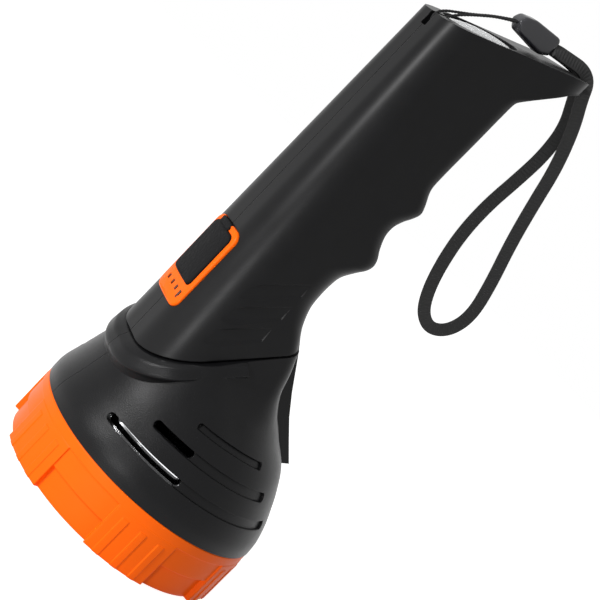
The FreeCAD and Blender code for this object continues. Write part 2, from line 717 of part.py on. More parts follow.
def front_lens():
    """Clear disc on the bezel's lip."""
    return Part.makeCylinder(SLEEVE_RADIUS - LENS_CLEARANCE, LENS_THICKNESS, vec(0, 0, BEZEL_LIP))


def lens_seal():
    """Flat ring between the lens and the reflector's flange."""
    outer = SLEEVE_RADIUS - LENS_CLEARANCE
    return ring(outer, REFLECTOR_RIM, lens_top(), lens_top() + SEAL_THICKNESS)


def reflector_radius(z):
    """Inner radius of the reflector, a parabola through its rim and its rear hole."""
    front = lens_top() + SEAL_THICKNESS + REFLECTOR_FLANGE
    gain = (REFLECTOR_RIM ** 2 - REFLECTOR_REAR_RADIUS ** 2) / (REFLECTOR_REAR_Z - front)
    return math.sqrt(REFLECTOR_REAR_RADIUS ** 2 + gain * (REFLECTOR_REAR_Z - z))


def reflector():
    """Parabolic bowl with a flange under the seal."""
    flange = lens_top() + SEAL_THICKNESS
    front = flange + REFLECTOR_FLANGE
    depth = REFLECTOR_REAR_Z - front
    count = 9
    heights = [REFLECTOR_REAR_Z - depth * (1 - (1 - i / (count - 1)) ** 2) for i in range(count)]
    inner = [vec(reflector_radius(z), 0, z) for z in heights]
    outer = [p + vec(REFLECTOR_WALL, 0, 0) for p in inner]
    inner_curve = Part.BSplineCurve()
    inner_curve.interpolate(inner)
    outer_curve = Part.BSplineCurve()
    outer_curve.interpolate(outer)
    wire = Part.Wire([
        inner_curve.toShape(),
        Part.LineSegment(inner[-1], outer[-1]).toShape(),
        outer_curve.toShape(),
        Part.LineSegment(outer[0], inner[0]).toShape(),
    ])
    bowl = Part.Face(wire).revolve(vec(0, 0, 0), Z, 360)
    rim = ring(SLEEVE_RADIUS - 0.4, REFLECTOR_RIM, flange, front)
    bridge = ring(SLEEVE_RADIUS - SLEEVE_WALL - 0.2, REFLECTOR_RIM, front - 0.3, front + 1.5)
    return join([bowl, rim, bridge.cut(Part.makeCylinder(REFLECTOR_RIM, 30, vec(0, 0, 0)))])


def heat_sink():
    """Aluminium flange and post behind the light source."""
    base = REFLECTOR_REAR_Z + 0.1 + LED_BOARD_THICKNESS
    flange = Part.makeCylinder(SINK_RADIUS, BULKHEAD_Z - base, vec(0, 0, base))
    post = Part.makeCylinder(POST_OF_SINK_RADIUS, POST_OF_SINK_LENGTH, vec(0, 0, BULKHEAD_Z))
    body = join([flange, post])
    for place in sink_screw_places():
        body = body.cut(rod(SINK_SCREW_RADIUS + SCREW_GAP, place, place + vec(0, 0, 20)))
    return body.cut(lead_passage())


def lead_passage():
    """Hole through the bulkhead and the heat sink for the lead."""
    x, y = LEAD_HOLE
    return rod(LEAD_HOLE_RADIUS, vec(x, y, REFLECTOR_REAR_Z), vec(x, y, BULKHEAD_Z + BULKHEAD_THICKNESS + 1))


def sink_screw_places():
    """Foot of each heat sink screw's head."""
    base = REFLECTOR_REAR_Z + 0.1 + LED_BOARD_THICKNESS
    places = []
    for angle in (0, 120, 240):
        t = math.radians(angle)
        places.append(vec(SINK_SCREW_CIRCLE * math.cos(t), SINK_SCREW_CIRCLE * math.sin(t), base))
    return places


def heat_sink_screws():
    """Three screws that hold the heat sink to the bulkhead."""
    reach = BULKHEAD_Z + BULKHEAD_THICKNESS
    solids = []
    for place in sink_screw_places():
        shank = rod(SINK_SCREW_RADIUS, place, vec(place.x, place.y, reach))
        head = rod(SINK_SCREW_RADIUS + 0.8, place - vec(0, 0, LED_BOARD_THICKNESS), place)
        solids.append(join([head, shank]))
    return Part.makeCompound(solids)


def led_board():
    """Round board on the heat sink."""
    return Part.makeCylinder(LED_BOARD_RADIUS, LED_BOARD_THICKNESS, vec(0, 0, REFLECTOR_REAR_Z + 0.1))


def led_emitter():
    """Light source: a square body with a dome that faces the lens."""
    top = REFLECTOR_REAR_Z + 0.1
    half = LED_SIZE / 2
    body = box(-half, half, -half, half, top - LED_HEIGHT, top)
    dome = Part.makeSphere(half * 0.8, vec(0, 0, top - LED_HEIGHT))
    return join([body, dome.cut(box(-FAR, FAR, -FAR, FAR, top - LED_HEIGHT / 2, FAR))])


def button_opening(grow):
    """Space of the push pad in the frame, with the tongue that leaves at the tail end."""
    x0 = FRAME_TOP_X - 5
    x1 = FRAME_UNDER_X + 5
    pad = box(x0, x1, -PAD_HALF_WIDTH - grow, PAD_HALF_WIDTH + grow, PAD_LOW_Z - grow, PAD_HIGH_Z + grow)
    low, high = TONGUE_Y
    tongue = box(x0, x1, low - grow, high + grow, PAD_HIGH_Z - 3, FRAME_HIGH_Z + 5)
    return pad, tongue


def window_boxes(x0, x1, grow):
    """The four charge windows, grown by a margin."""
    half_y = WINDOW_SIZE[0] / 2 + grow
    half_z = WINDOW_SIZE[1] / 2 + grow
    return [box(x0, x1, y - half_y, y + half_y, WINDOW_Z - half_z, WINDOW_Z + half_z) for y in WINDOW_Y]


def crown(x, radius):
    """Large cylinder whose side gives a surface its crown across Y, highest at x."""
    return Part.makeCylinder(radius, 2 * FAR, vec(x + radius, 0, 0), Z)


def switch_frame():
    """Crowned frame with the charge windows, two arms and inturned ends that clear the pad."""
    flange = frame_block(FRAME_TOP_X, FRAME_SEAT_X, 0).common(crown(FRAME_TOP_X, FRAME_CROWN))
    skirt = frame_block(FRAME_SEAT_X, FRAME_UNDER_X, -FRAME_SKIRT)
    body = join([flange, skirt])
    rim = [edge for edge in body.Edges if edge.BoundBox.XMax < FRAME_SEAT_X - FRAME_EDGE]
    body = body.makeFillet(FRAME_EDGE, rim)
    for part in button_opening(0):
        body = body.cut(part)
    recess = box(FRAME_TOP_X - 1, FRAME_TOP_X + 0.4, -PAD_HALF_WIDTH - 1.2, PAD_HALF_WIDTH + 1.2,
                 WINDOW_Z - 3.0, WINDOW_Z + 3.0)
    body = body.cut(recess)
    for part in window_boxes(FRAME_TOP_X - 1, FRAME_UNDER_X + 1, 0):
        body = body.cut(part)
    return body


def switch_button():
    """Crowned push pad with its tongue and the flange that stops it under the frame."""
    pad, tongue = button_opening(-PAD_CLEARANCE)
    trim = box(PAD_TOP_X, FRAME_UNDER_X, -FAR, FAR, 0, FRAME_HIGH_Z - PAD_CLEARANCE)
    body = join([pad, tongue]).common(crown(PAD_TOP_X, PAD_CROWN)).common(trim)
    reach = PAD_HALF_WIDTH + BUTTON_FLANGE_OVERLAP
    flange = box(FRAME_UNDER_X, FRAME_UNDER_X + BUTTON_FLANGE, -reach, reach,
                 PAD_LOW_Z - BUTTON_FLANGE_OVERLAP, PAD_HIGH_Z + BUTTON_FLANGE_OVERLAP)
    return join([body, flange])


def switch_plunger():
    """Round plunger of the switch, carried by the button."""
    start = FRAME_UNDER_X + BUTTON_FLANGE
    return rod(PLUNGER_RADIUS, vec(start, 0, SWITCH_Z), vec(start + PLUNGER_LENGTH, 0, SWITCH_Z))


def push_switch():
    """Square switch body on the board, bored for its plunger."""
    half = SWITCH_HALF
    body = box(SWITCH_X, BOARD_X, -half, half, SWITCH_Z - half, SWITCH_Z + half)
    floor = FRAME_UNDER_X + BUTTON_FLANGE + PLUNGER_LENGTH + BUTTON_TRAVEL + 0.3
    bore = rod(PLUNGER_RADIUS + 0.3, vec(SWITCH_X - 1, 0, SWITCH_Z), vec(floor, 0, SWITCH_Z))
    return body.cut(bore)


def control_board():
    """Board under the push button."""
    return box(BOARD_X, BOARD_X + BOARD_THICKNESS, -BOARD_HALF_WIDTH, BOARD_HALF_WIDTH,
               BOARD_LOW_Z, BOARD_HIGH_Z)


def charge_light_guide():
    """Clear comb behind the frame, with a finger in each charge window."""
    gap = 0.1
    solids = window_boxes(FRAME_TOP_X + 0.6, FRAME_UNDER_X + 0.2, -gap)
    bar = box(FRAME_UNDER_X + 0.1, BOARD_X - 3, WINDOW_Y[-1] - 1, WINDOW_Y[0] + 1,
              WINDOW_Z - 2.1, WINDOW_Z + 1.2)
    foot = box(BOARD_X - 3, BOARD_X, -2.0, 1.0, WINDOW_Z - 2.1, WINDOW_Z + 1.2)
    return join(solids + [bar, foot])


def cell(x):
    """Round cell with its raised end."""
    body = rod(CELL_RADIUS, vec(x, 0, CELL_FRONT_Z), vec(x, 0, CELL_FRONT_Z + CELL_LENGTH - 1))
    tip = rod(CELL_RADIUS / 3, vec(x, 0, CELL_FRONT_Z), vec(x, 0, CELL_FRONT_Z + CELL_LENGTH))
    return join([body, tip])


def cell_strip(z):
    """Metal strip that joins the two cells at one end."""
    return box(CELL_UPPER_X - 4, CELL_LOWER_X + 4, -4, 4, z, z + STRIP_THICKNESS)


def battery_cradle():
    """Tray with two round channels that carries the cells."""
    reach = CELL_RADIUS + CRADLE_GAP + CRADLE_WALL
    front = CELL_FRONT_Z - STRIP_THICKNESS
    rear = CELL_FRONT_Z + CELL_LENGTH + STRIP_THICKNESS
    low = CELL_UPPER_X - CELL_RADIUS - CRADLE_SIDE
    high = CELL_LOWER_X + CELL_RADIUS + CRADLE_SIDE
    corners = [(low, 0.6), (high, 0.6), (high, CRADLE_DEPTH - CRADLE_BEVEL),
               (high - CRADLE_BEVEL, CRADLE_DEPTH), (low + CRADLE_BEVEL, CRADLE_DEPTH),
               (low, CRADLE_DEPTH - CRADLE_BEVEL)]
    points = [vec(x, y, front - CRADLE_END) for x, y in corners]
    face = Part.Face(Part.makePolygon(points + points[:1]))
    body = face.extrude(vec(0, 0, rear - front + 2 * CRADLE_END))
    for x in (CELL_UPPER_X, CELL_LOWER_X):
        body = body.cut(rod(CELL_RADIUS + CRADLE_GAP, vec(x, 0, front), vec(x, 0, rear)))
    body = body.cut(box(CELL_UPPER_X, CELL_LOWER_X, 0, 4.4, front, front + 2))
    body = body.cut(box(CELL_UPPER_X, CELL_LOWER_X, 0, 4.4, rear - 2, rear))
    return body.cut(box(-FAR, FAR, reach + 5, FAR, -FAR, FAR))


def tail_lamp_lens():
    """Slightly domed round lens in the tail face."""
    disc = tail_disc(TAIL_LENS_RADIUS, -0.6, TAIL_LENS_THICKNESS)
    height = 60.0
    return disc.common(Part.makeSphere(height, tail_point(height - 0.6)))


def tail_reflector():
    """Conical cup with a flange under the tail lens."""
    top = TAIL_LENS_THICKNESS
    axis = tail_point(TAIL_CUP_DEPTH) - tail_point(top)
    depth = TAIL_CUP_DEPTH - top
    outer = Part.makeCone(TAIL_CUP_RADIUS, TAIL_CUP_REAR + TAIL_CUP_WALL, depth, tail_point(top), axis)
    inner = Part.makeCone(
        TAIL_CUP_RADIUS - TAIL_CUP_WALL, TAIL_CUP_REAR, depth, tail_point(top), axis)
    rim = tail_disc(TAIL_LENS_RADIUS, top, top + TAIL_CUP_WALL)
    rim = rim.cut(tail_disc(TAIL_CUP_RADIUS - TAIL_CUP_WALL, top - 1, top + 2))
    return join([outer.cut(inner), rim])


def tail_led_board():
    """Board behind the cup."""
    radius, thickness = TAIL_BOARD
    return tail_disc(radius, TAIL_CUP_DEPTH, TAIL_CUP_DEPTH + thickness)


def tail_led():
    """Small light source in the cup."""
    body = tail_disc(2.4, TAIL_CUP_DEPTH - 2.5, TAIL_CUP_DEPTH)
    return join([body, Part.makeSphere(2.4, tail_point(TAIL_CUP_DEPTH - 2.5))])


def charge_socket():
    """Round inlet with a centre pin, flush with the right side."""
    outside = grip_half_width(SOCKET_Z) - 0.5
    start = vec(SOCKET_X, CRADLE_DEPTH + CRADLE_GAP, SOCKET_Z)
    end = vec(SOCKET_X, outside, SOCKET_Z)
    body = rod(SOCKET_RADIUS, start, end)
    body = body.cut(rod(SOCKET_BORE, start + vec(0, 2, 0), end + vec(0, 1, 0)))
    return join([body, rod(SOCKET_PIN, start + vec(0, 1, 0), end - vec(0, 1, 0))])


def housing_screws():
    """Screws that close the housing, entered from the right."""
    solids = []
    for x, z in HEAD_SCREWS + GRIP_SCREWS:
        seat = vec(x, SCREW_HEAD_Y, z)
        shank = rod(SCREW_RADIUS, vec(x, -SCREW_REACH, z), seat)
        head = rod(SCREW_HEAD_RADIUS, seat, seat + vec(0, SCREW_HEAD_HEIGHT, 0))
        cross = box(x - 0.5, x + 0.5, SCREW_HEAD_Y + 1, SCREW_HEAD_Y + 5, z - 1.7, z + 1.7)
        cross = cross.fuse(box(x - 1.7, x + 1.7, SCREW_HEAD_Y + 1, SCREW_HEAD_Y + 5, z - 0.5, z + 0.5))
        solids.append(join([shank, head]).cut(cross))
    return Part.makeCompound(solids)


def strap_ferrule():
    """Moulded sleeve that joins the string and the strap."""
    body = side_prism(FERRULE, FERRULE_HALF_WIDTH)
    long_edges = [edge for edge in body.Edges if abs(edge.tangentAt(edge.FirstParameter).y) < 0.5]
    return body.makeFillet(0.7, long_edges)


def tube(name, route, diameter):
    """Round tube along straight runs joined by tangent arcs, with its sharpest bend printed."""
    points = [vec(*p) for p in route]
    runs = [(b - a).Length for a, b in zip(points, points[1:])]
    edges = []
    start = points[0]
    radii = []
    for i in range(1, len(points) - 1):
        back = (points[i - 1] - points[i]).normalize()
        ahead = (points[i + 1] - points[i]).normalize()
        turn = math.pi - back.getAngle(ahead)
        trim = 0.45 * min(runs[i - 1], runs[i])
        radius = trim / math.tan(turn / 2)
        radii.append(radius)
        first = points[i] + back * trim
        last = points[i] + ahead * trim
        inward = (back + ahead).normalize()
        reach = radius / math.cos(turn / 2) - radius
        edges.append(Part.LineSegment(start, first).toShape())
        edges.append(Part.Arc(first, points[i] + inward * reach, last).toShape())
        start = last
    edges.append(Part.LineSegment(start, points[-1]).toShape())
    path = Part.Wire(edges)
    circle = Part.Wire(Part.Circle(points[0], points[1] - points[0], diameter / 2).toShape())
    solid = path.makePipeShell([circle], True, False)
    share = solid.Volume / (math.pi * diameter ** 2 / 4 * path.Length)
    print("%s: length %.1f, tightest radius %.1f, volume share %.4f" % (
        name, path.Length, min(radii), share))
    print("  radii " + " ".join("%.1f" % r for r in radii))
    return solid


def all_parts():
    """Every node of the torch by name."""
    head_left, head_right = head_shells()
    grip_left, grip_right = grip_shells()
    return {
        "head_shell_left": head_left,
        "head_shell_right": head_right,
        "handle_shell_left": grip_left,
        "handle_shell_right": grip_right,
        "housing_screws": housing_screws(),
        "bezel_ring": bezel_ring(),
        "front_lens": front_lens(),
        "lens_seal": lens_seal(),
        "reflector": reflector(),
        "heat_sink": heat_sink(),
        "heat_sink_screws": heat_sink_screws(),
        "led_board": led_board(),
        "led_emitter": led_emitter(),
        "switch_frame": switch_frame(),
        "switch_button": switch_button(),
        "switch_plunger": switch_plunger(),
        "push_switch": push_switch(),
        "control_board": control_board(),
        "charge_light_guide": charge_light_guide(),
        "battery_cell_upper": cell(CELL_UPPER_X),
        "battery_cell_lower": cell(CELL_LOWER_X),
        "cell_strip_front": cell_strip(CELL_FRONT_Z - STRIP_THICKNESS),
        "cell_strip_rear": cell_strip(CELL_FRONT_Z + CELL_LENGTH),
        "battery_cradle": battery_cradle(),
        "tail_lamp_lens": tail_lamp_lens(),
        "tail_reflector": tail_reflector(),
        "tail_led_board": tail_led_board(),
        "tail_led": tail_led(),
        "charge_socket": charge_socket(),
        "lead_head": tube("lead_head", LEAD_HEAD_ROUTE, LEAD_DIAMETER),
        "lead_tail": tube("lead_tail", LEAD_TAIL_ROUTE, LEAD_DIAMETER),
        "lanyard_string": tube("lanyard_string", STRING_ROUTE, STRING_DIAMETER),
        "strap_ferrule": strap_ferrule(),
        "wrist_strap": tube("wrist_strap", STRAP_ROUTE, STRAP_WIDTH),
    }


os.makedirs("parts", exist_ok=True)
for name, shape in all_parts().items():
    shape.exportStep("parts/" + name + ".step")
    print("%-22s solids %d volume %.0f valid %s" % (name, len(shape.Solids), shape.Volume, shape.isValid()))
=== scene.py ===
import logging
import math
from dataclasses import dataclass
from enum import Enum
from typing import Iterable, Sequence

import bmesh
import bpy
import numpy as np
from mathutils import Matrix, Vector


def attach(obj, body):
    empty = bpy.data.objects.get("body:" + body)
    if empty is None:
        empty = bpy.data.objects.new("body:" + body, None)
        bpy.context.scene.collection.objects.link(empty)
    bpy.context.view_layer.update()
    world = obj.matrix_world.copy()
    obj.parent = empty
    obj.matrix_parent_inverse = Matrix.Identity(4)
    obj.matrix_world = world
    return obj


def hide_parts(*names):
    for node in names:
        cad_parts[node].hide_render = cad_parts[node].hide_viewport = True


# The looks of the hand torch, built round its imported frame. Sizes are millimetres in the classes
# and metres in Blender. +Z runs from the bezel rim to the tail, -X is the push button side, +X the
# finger grip side, and -Y the left half of the housing.

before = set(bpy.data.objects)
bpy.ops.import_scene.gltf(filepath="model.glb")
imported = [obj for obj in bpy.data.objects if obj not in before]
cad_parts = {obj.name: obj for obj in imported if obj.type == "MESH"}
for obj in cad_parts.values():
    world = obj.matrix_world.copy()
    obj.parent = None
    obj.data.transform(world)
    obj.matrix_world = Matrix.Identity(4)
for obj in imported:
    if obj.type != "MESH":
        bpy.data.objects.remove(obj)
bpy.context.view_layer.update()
LOG = logging.getLogger("torch")
MM = 0.001  # metres in a millimetre
FAR = 300.0  # millimetres, past every side of the torch
WELD = 2e-6  # metres within which points are one
VIEW_ANGLE = 34.83  # degrees from -Y towards -X, the side that the photograph shows

Point = tuple[float, float, float]
Colour = tuple[float, float, float, float]


class Body(Enum):
    """Moving bodies of the torch."""

    TORCH = "torch"
    CARRIAGE = "lens_carriage"
    BEZEL = "bezel"
    BUTTON = "button"


class Half(Enum):
    """Half of the housing, by the sign of Y on its side of the parting plane."""

    LEFT = -1
    RIGHT = 1


class Join(Enum):
    """Ways to combine two closed meshes."""

    ADD = "UNION"
    CUT = "DIFFERENCE"
    KEEP = "INTERSECT"


# Finishes


class ShaderTree:
    """Node tree of one material under construction, with a principled shader at its end."""

    def __init__(self, name: str) -> None:
        """Start an empty tree.

        Args:
            name: Name of the material.
        """
        self.material = bpy.data.materials.new(name)
        self.material.use_nodes = True
        self.tree = self.material.node_tree
        self.tree.nodes.clear()
        self.output = self.tree.nodes.new("ShaderNodeOutputMaterial")
        self.shader = self.tree.nodes.new("ShaderNodeBsdfPrincipled")
        self.link(self.shader.outputs[0], self.output.inputs[0])

    def add(self, kind: str, values: dict | None = None, **settings: object) -> bpy.types.Node:
        """Add a node.

        Args:
            kind: Node type without its ShaderNode prefix.
            values: Input values by socket name or number.
            settings: Properties of the node.

        Returns:
            The new node.
        """
        node = self.tree.nodes.new("ShaderNode" + kind)
        for key, value in settings.items():
            setattr(node, key, value)
        for key, value in (values or {}).items():
            node.inputs[key].default_value = value
        return node

    def link(self, source: bpy.types.NodeSocket, target: bpy.types.NodeSocket) -> None:
        """Connect two sockets."""
        self.tree.links.new(source, target)

    def noise(self, place: bpy.types.NodeSocket, size: float, detail: float = 3.0) -> bpy.types.NodeSocket:
        """Noise field.

        Args:
            place: Coordinates to read.
            size: Size of its features in millimetres.
            detail: Octaves of detail.

        Returns:
            The socket with its value.
        """
        node = self.add("TexNoise", {"Scale": 1.0 / (size * MM), "Detail": detail})
        self.link(place, node.inputs["Vector"])
        return node.outputs[0]

    def spread(self, value: bpy.types.NodeSocket, low: float, high: float) -> bpy.types.NodeSocket:
        """Value between 0.25 and 0.75 mapped to a range.

        Args:
            value: Socket to read.
            low: Result at the low end.
            high: Result at the high end.

        Returns:
            The socket with the result.
        """
        node = self.add("MapRange", {"From Min": 0.25, "From Max": 0.75, "To Min": low, "To Max": high})
        self.link(value, node.inputs["Value"])
        return node.outputs["Result"]

    def blend(self, share: bpy.types.NodeSocket, first: Colour, second: Colour) -> bpy.types.NodeSocket:
        """Mixed colour.

        Args:
            share: Share of the second colour.
            first: Colour at 0.
            second: Colour at 1.

        Returns:
            The socket with the colour.
        """
        node = self.add("Mix", data_type="RGBA")
        node.inputs[6].default_value = first
        node.inputs[7].default_value = second
        self.link(share, node.inputs[0])
        return node.outputs[2]

    def bump(self, height: bpy.types.NodeSocket, strength: float, depth: float,
             normal: bpy.types.NodeSocket | None = None) -> bpy.types.NodeSocket:
        """Bumped normal.

        Args:
            height: Height field.
            strength: Strength from 0 to 1.
            depth: Depth of the relief in millimetres.
            normal: Normal to start from.

        Returns:
            The socket with the normal.
        """
        node = self.add("Bump", {"Strength": strength, "Distance": depth * MM})
        self.link(height, node.inputs["Height"])
        if normal is not None:
            self.link(normal, node.inputs["Normal"])
        return node.outputs[0]


@dataclass(frozen=True)
class Finish:
    """Finish of a moulded, turned or cast surface with a fine grain."""

    name: str
    slot: str
    colour: Colour
    roughness: float = 0.4
    specular: float = 0.3
    metallic: float = 0.0
    grain: float = 0.3
    relief: float = 0.15
    depth: float = 0.05
    mottle: float = 0.12
    edge: float = 0.3

    def material(self) -> bpy.types.Material:
        """Material of this finish, built once.

        Returns:
            The material.
        """
        known = bpy.data.materials.get(self.name)
        if known is not None:
            return known
        tree = ShaderTree(self.name)
        tree.shader.inputs["Metallic"].default_value = self.metallic
        tree.shader.inputs["Specular IOR Level"].default_value = self.specular
        self.paint(tree)
        return tree.material

    def paint(self, tree: ShaderTree) -> None:
        """Connect colour, roughness and relief.

        Args:
            tree: Tree of the material.
        """
        place = tree.add("TexCoord").outputs["Object"]
        cloud = tree.noise(place, 9.0, 4.0)
        fine = tree.noise(place, self.grain, 2.0)
        dark = tuple(c * (1.0 - self.mottle) for c in self.colour[:3]) + (1.0,)
        light = tuple(min(1.0, c * (1.0 + self.mottle)) for c in self.colour[:3]) + (1.0,)
        tree.link(tree.blend(tree.spread(cloud, 0.0, 1.0), dark, light), tree.shader.inputs["Base Color"])
        tree.link(tree.spread(cloud, self.roughness * 0.92, self.roughness * 1.08),
                  tree.shader.inputs["Roughness"])
        soft = tree.add("Bevel", {"Radius": self.edge * MM}, samples=4)
        tree.link(tree.bump(self.height(tree, place, fine), self.relief, self.depth, soft.outputs[0]),
                  tree.shader.inputs["Normal"])

    def height(self, tree: ShaderTree, place: bpy.types.NodeSocket,
               fine: bpy.types.NodeSocket) -> bpy.types.NodeSocket:
        """Height field of the relief: here the plain grain."""
        return fine


@dataclass(frozen=True)
class SparkFinish(Finish):
    """Spark-eroded mould texture: sparse fine pits and grains."""

    def height(self, tree: ShaderTree, place: bpy.types.NodeSocket,
               fine: bpy.types.NodeSocket) -> bpy.types.NodeSocket:
        """Cells of the spark texture under the fine grain.

        Args:
            tree: Tree of the material.
            place: Coordinates to read.
            fine: Field of the fine grain.

        Returns:
            The socket with their sum.
        """
        cells = tree.add("TexVoronoi", {"Scale": 1.0 / (2.2 * self.grain * MM)})
        tree.link(place, cells.inputs["Vector"])
        total = tree.add("Math", operation="ADD")
        tree.link(cells.outputs["Distance"], total.inputs[0])
        tree.link(fine, total.inputs[1])
        return total.outputs[0]


@dataclass(frozen=True)
class BrushedFinish(Finish):
    """Metal with fine lines round or along one axis."""

    stretch: Point = (1.0, 1.0, 14.0)

    def height(self, tree: ShaderTree, place: bpy.types.NodeSocket,
               fine: bpy.types.NodeSocket) -> bpy.types.NodeSocket:
        """Noise that is stretched into lines.

        Args:
            tree: Tree of the material.
            place: Coordinates to read.
            fine: Field of the plain grain, not used: the lines take its place.

        Returns:
            The socket with the lines.
        """
        node = tree.add("Mapping", {"Scale": self.stretch})
        tree.link(place, node.inputs["Vector"])
        return tree.noise(node.outputs[0], self.grain * 4.0, 3.0)


@dataclass(frozen=True)
class ClearFinish(Finish):
    """Clear or frosted moulding."""

    transmission: float = 1.0
    ior: float = 1.49

    def paint(self, tree: ShaderTree) -> None:
        """Clear body with a trace of uneven polish.

        Args:
            tree: Tree of the material.
        """
        place = tree.add("TexCoord").outputs["Object"]
        tree.shader.inputs["Base Color"].default_value = self.colour
        tree.shader.inputs["Transmission Weight"].default_value = self.transmission
        tree.shader.inputs["IOR"].default_value = self.ior
        cloud = tree.noise(place, 5.0, 3.0)
        tree.link(tree.spread(cloud, self.roughness * 0.8, self.roughness * 1.2),
                  tree.shader.inputs["Roughness"])
        tree.link(tree.bump(tree.noise(place, self.grain, 2.0), self.relief, self.depth),
                  tree.shader.inputs["Normal"])


@dataclass(frozen=True)
class WovenFinish(Finish):
    """Woven or twisted yarn, coloured by the piece's own UV map in millimetres."""

    second: Colour = (0.15, 0.118, 0.102, 1.0)
    pitch: float = 1.5
    ladder: float = 1.9

    def paint(self, tree: ShaderTree) -> None:
        """Ribs across the band, yarn twist in them and a faint sheen.

        Args:
            tree: Tree of the material.
        """
        place = tree.add("UVMap", uv_map="band").outputs[0]
        split = tree.add("SeparateXYZ")
        tree.link(place, split.inputs[0])
        aside = tree.add("Math", operation="ABSOLUTE")
        tree.link(split.outputs["X"], aside.inputs[0])
        middle = tree.add("MapRange", {"From Min": self.ladder - 0.2, "From Max": self.ladder + 0.2,
                                       "To Min": 1.0, "To Max": 0.0})
        tree.link(aside.outputs[0], middle.inputs["Value"])
        wave = tree.add("TexWave", {"Scale": 1.0, "Distortion": 0.0}, wave_type="BANDS",
                        bands_direction="Y", wave_profile="SIN")
        turned = tree.add("Mapping", {"Scale": (0.0, 2.0 * math.pi / 20.0 / self.pitch, 0.0)})
        tree.link(place, turned.inputs["Vector"])
        tree.link(turned.outputs[0], wave.inputs["Vector"])
        yarn = tree.noise(tree.add("TexCoord").outputs["Object"], 0.22, 3.0)
        mixed = tree.add("Math", operation="MULTIPLY")
        tree.link(wave.outputs["Fac"], mixed.inputs[0])
        tree.link(tree.spread(yarn, 0.6, 1.2), mixed.inputs[1])
        shown = tree.add("Math", operation="MULTIPLY")
        tree.link(mixed.outputs[0], shown.inputs[0])
        tree.link(middle.outputs["Result"], shown.inputs[1])
        tree.link(tree.blend(shown.outputs[0], self.colour, self.second), tree.shader.inputs["Base Color"])
        tree.shader.inputs["Roughness"].default_value = self.roughness
        tree.shader.inputs["Sheen Weight"].default_value = 0.06
        tree.shader.inputs["Sheen Roughness"].default_value = 0.4
        tree.link(tree.bump(mixed.outputs[0], self.relief, self.depth), tree.shader.inputs["Normal"])


HEAD_BLACK = SparkFinish("head_black", "housing_black", (0.005, 0.005, 0.0055, 1.0),
                         roughness=0.33, specular=0.15, grain=0.2, relief=0.7, depth=0.05, edge=0.4)
GRIP_BLACK = Finish("grip_black", "housing_black", (0.005, 0.005, 0.0054, 1.0),
                    roughness=0.36, specular=0.14, grain=0.3, relief=0.08, depth=0.03, edge=0.4)
BEZEL_ORANGE = Finish("bezel_orange", "accent_orange", (1.0, 0.135, 0.002, 1.0), roughness=0.42,
                      specular=0.12, grain=0.4, relief=0.05, mottle=0.02, edge=0.25)
FRAME_ORANGE = Finish("frame_orange", "accent_orange", (1.0, 0.13, 0.001, 1.0), roughness=0.38,
                      specular=0.12, grain=0.4, relief=0.05, mottle=0.02, edge=0.2)
PAD_BLACK = SparkFinish("pad_black", "button_black", (0.006, 0.006, 0.0065, 1.0), roughness=0.6,
                        specular=0.08, grain=0.7, relief=0.9, depth=0.15, edge=0.3)
SWITCH_GREY = Finish("switch_grey", "switch_plastic", (0.08, 0.08, 0.085, 1.0), roughness=0.5)
TRAY_GREY = Finish("tray_grey", "inner_plastic", (0.12, 0.12, 0.125, 1.0), roughness=0.55)
LENS_CLEAR = ClearFinish("lens_clear", "lens_clear", (0.97, 0.98, 0.985, 1.0), roughness=0.02,
                         specular=0.5, relief=0.02)
TAIL_PALE = ClearFinish("tail_pale", "tail_lens_pale", (0.9, 0.91, 0.92, 1.0), roughness=0.22,
                        specular=0.5, transmission=0.55, relief=0.1)
GUIDE_CLEAR = ClearFinish("guide_smoky", "guide_clear", (0.1, 0.03, 0.012, 1.0), roughness=0.35,
                          specular=0.1, transmission=0.25, relief=0.05)
SEAL_RUBBER = Finish("seal_rubber", "seal_rubber", (0.02, 0.02, 0.02, 1.0), roughness=0.75, specular=0.2)
BRIGHT_COAT = Finish("bright_coat", "reflector_bright", (0.9, 0.91, 0.93, 1.0), roughness=0.05,
                     metallic=1.0, grain=2.0, relief=0.03, mottle=0.02)
SINK_ALLOY = BrushedFinish("sink_alloy", "sink_aluminium", (0.72, 0.73, 0.75, 1.0), roughness=0.32,
                           metallic=1.0, relief=0.2)
BOARD_GREEN = Finish("board_green", "board_green", (0.03, 0.2, 0.09, 1.0), roughness=0.3, specular=0.5)
EMITTER_YELLOW = Finish("emitter_yellow", "emitter_resin", (0.95, 0.8, 0.25, 1.0), roughness=0.2,
                        specular=0.5)
SCREW_ZINC = BrushedFinish("screw_zinc", "screw_steel", (0.55, 0.56, 0.58, 1.0), roughness=0.3,
                           metallic=1.0, relief=0.15, stretch=(12.0, 1.0, 12.0))
STRIP_NICKEL = BrushedFinish("strip_nickel", "strip_steel", (0.72, 0.71, 0.68, 1.0), roughness=0.28,
                             metallic=1.0, relief=0.15, stretch=(1.0, 10.0, 10.0))
CELL_BLUE = Finish("cell_blue", "cell_can", (0.05, 0.14, 0.36, 1.0), roughness=0.3, specular=0.5)
LEAD_RED = Finish("lead_red", "lead_insulation", (0.42, 0.02, 0.015, 1.0), roughness=0.45)
FERRULE_BLACK = Finish("ferrule_black", "ferrule_black", (0.004, 0.004, 0.0045, 1.0), roughness=0.3,
                       specular=0.05, relief=0.05, edge=0.5)
STRING_YARN = WovenFinish("string_yarn", "string_black", (0.006, 0.006, 0.006, 1.0), roughness=0.7,
                          specular=0.2, relief=0.5, depth=0.1, second=(0.02, 0.02, 0.021, 1.0), pitch=0.7)
STRAP_WEAVE = WovenFinish("strap_weave", "strap_weave", (0.007, 0.007, 0.007, 1.0), roughness=0.75,
                          specular=0.2, relief=0.6, depth=0.15)


# Meshes


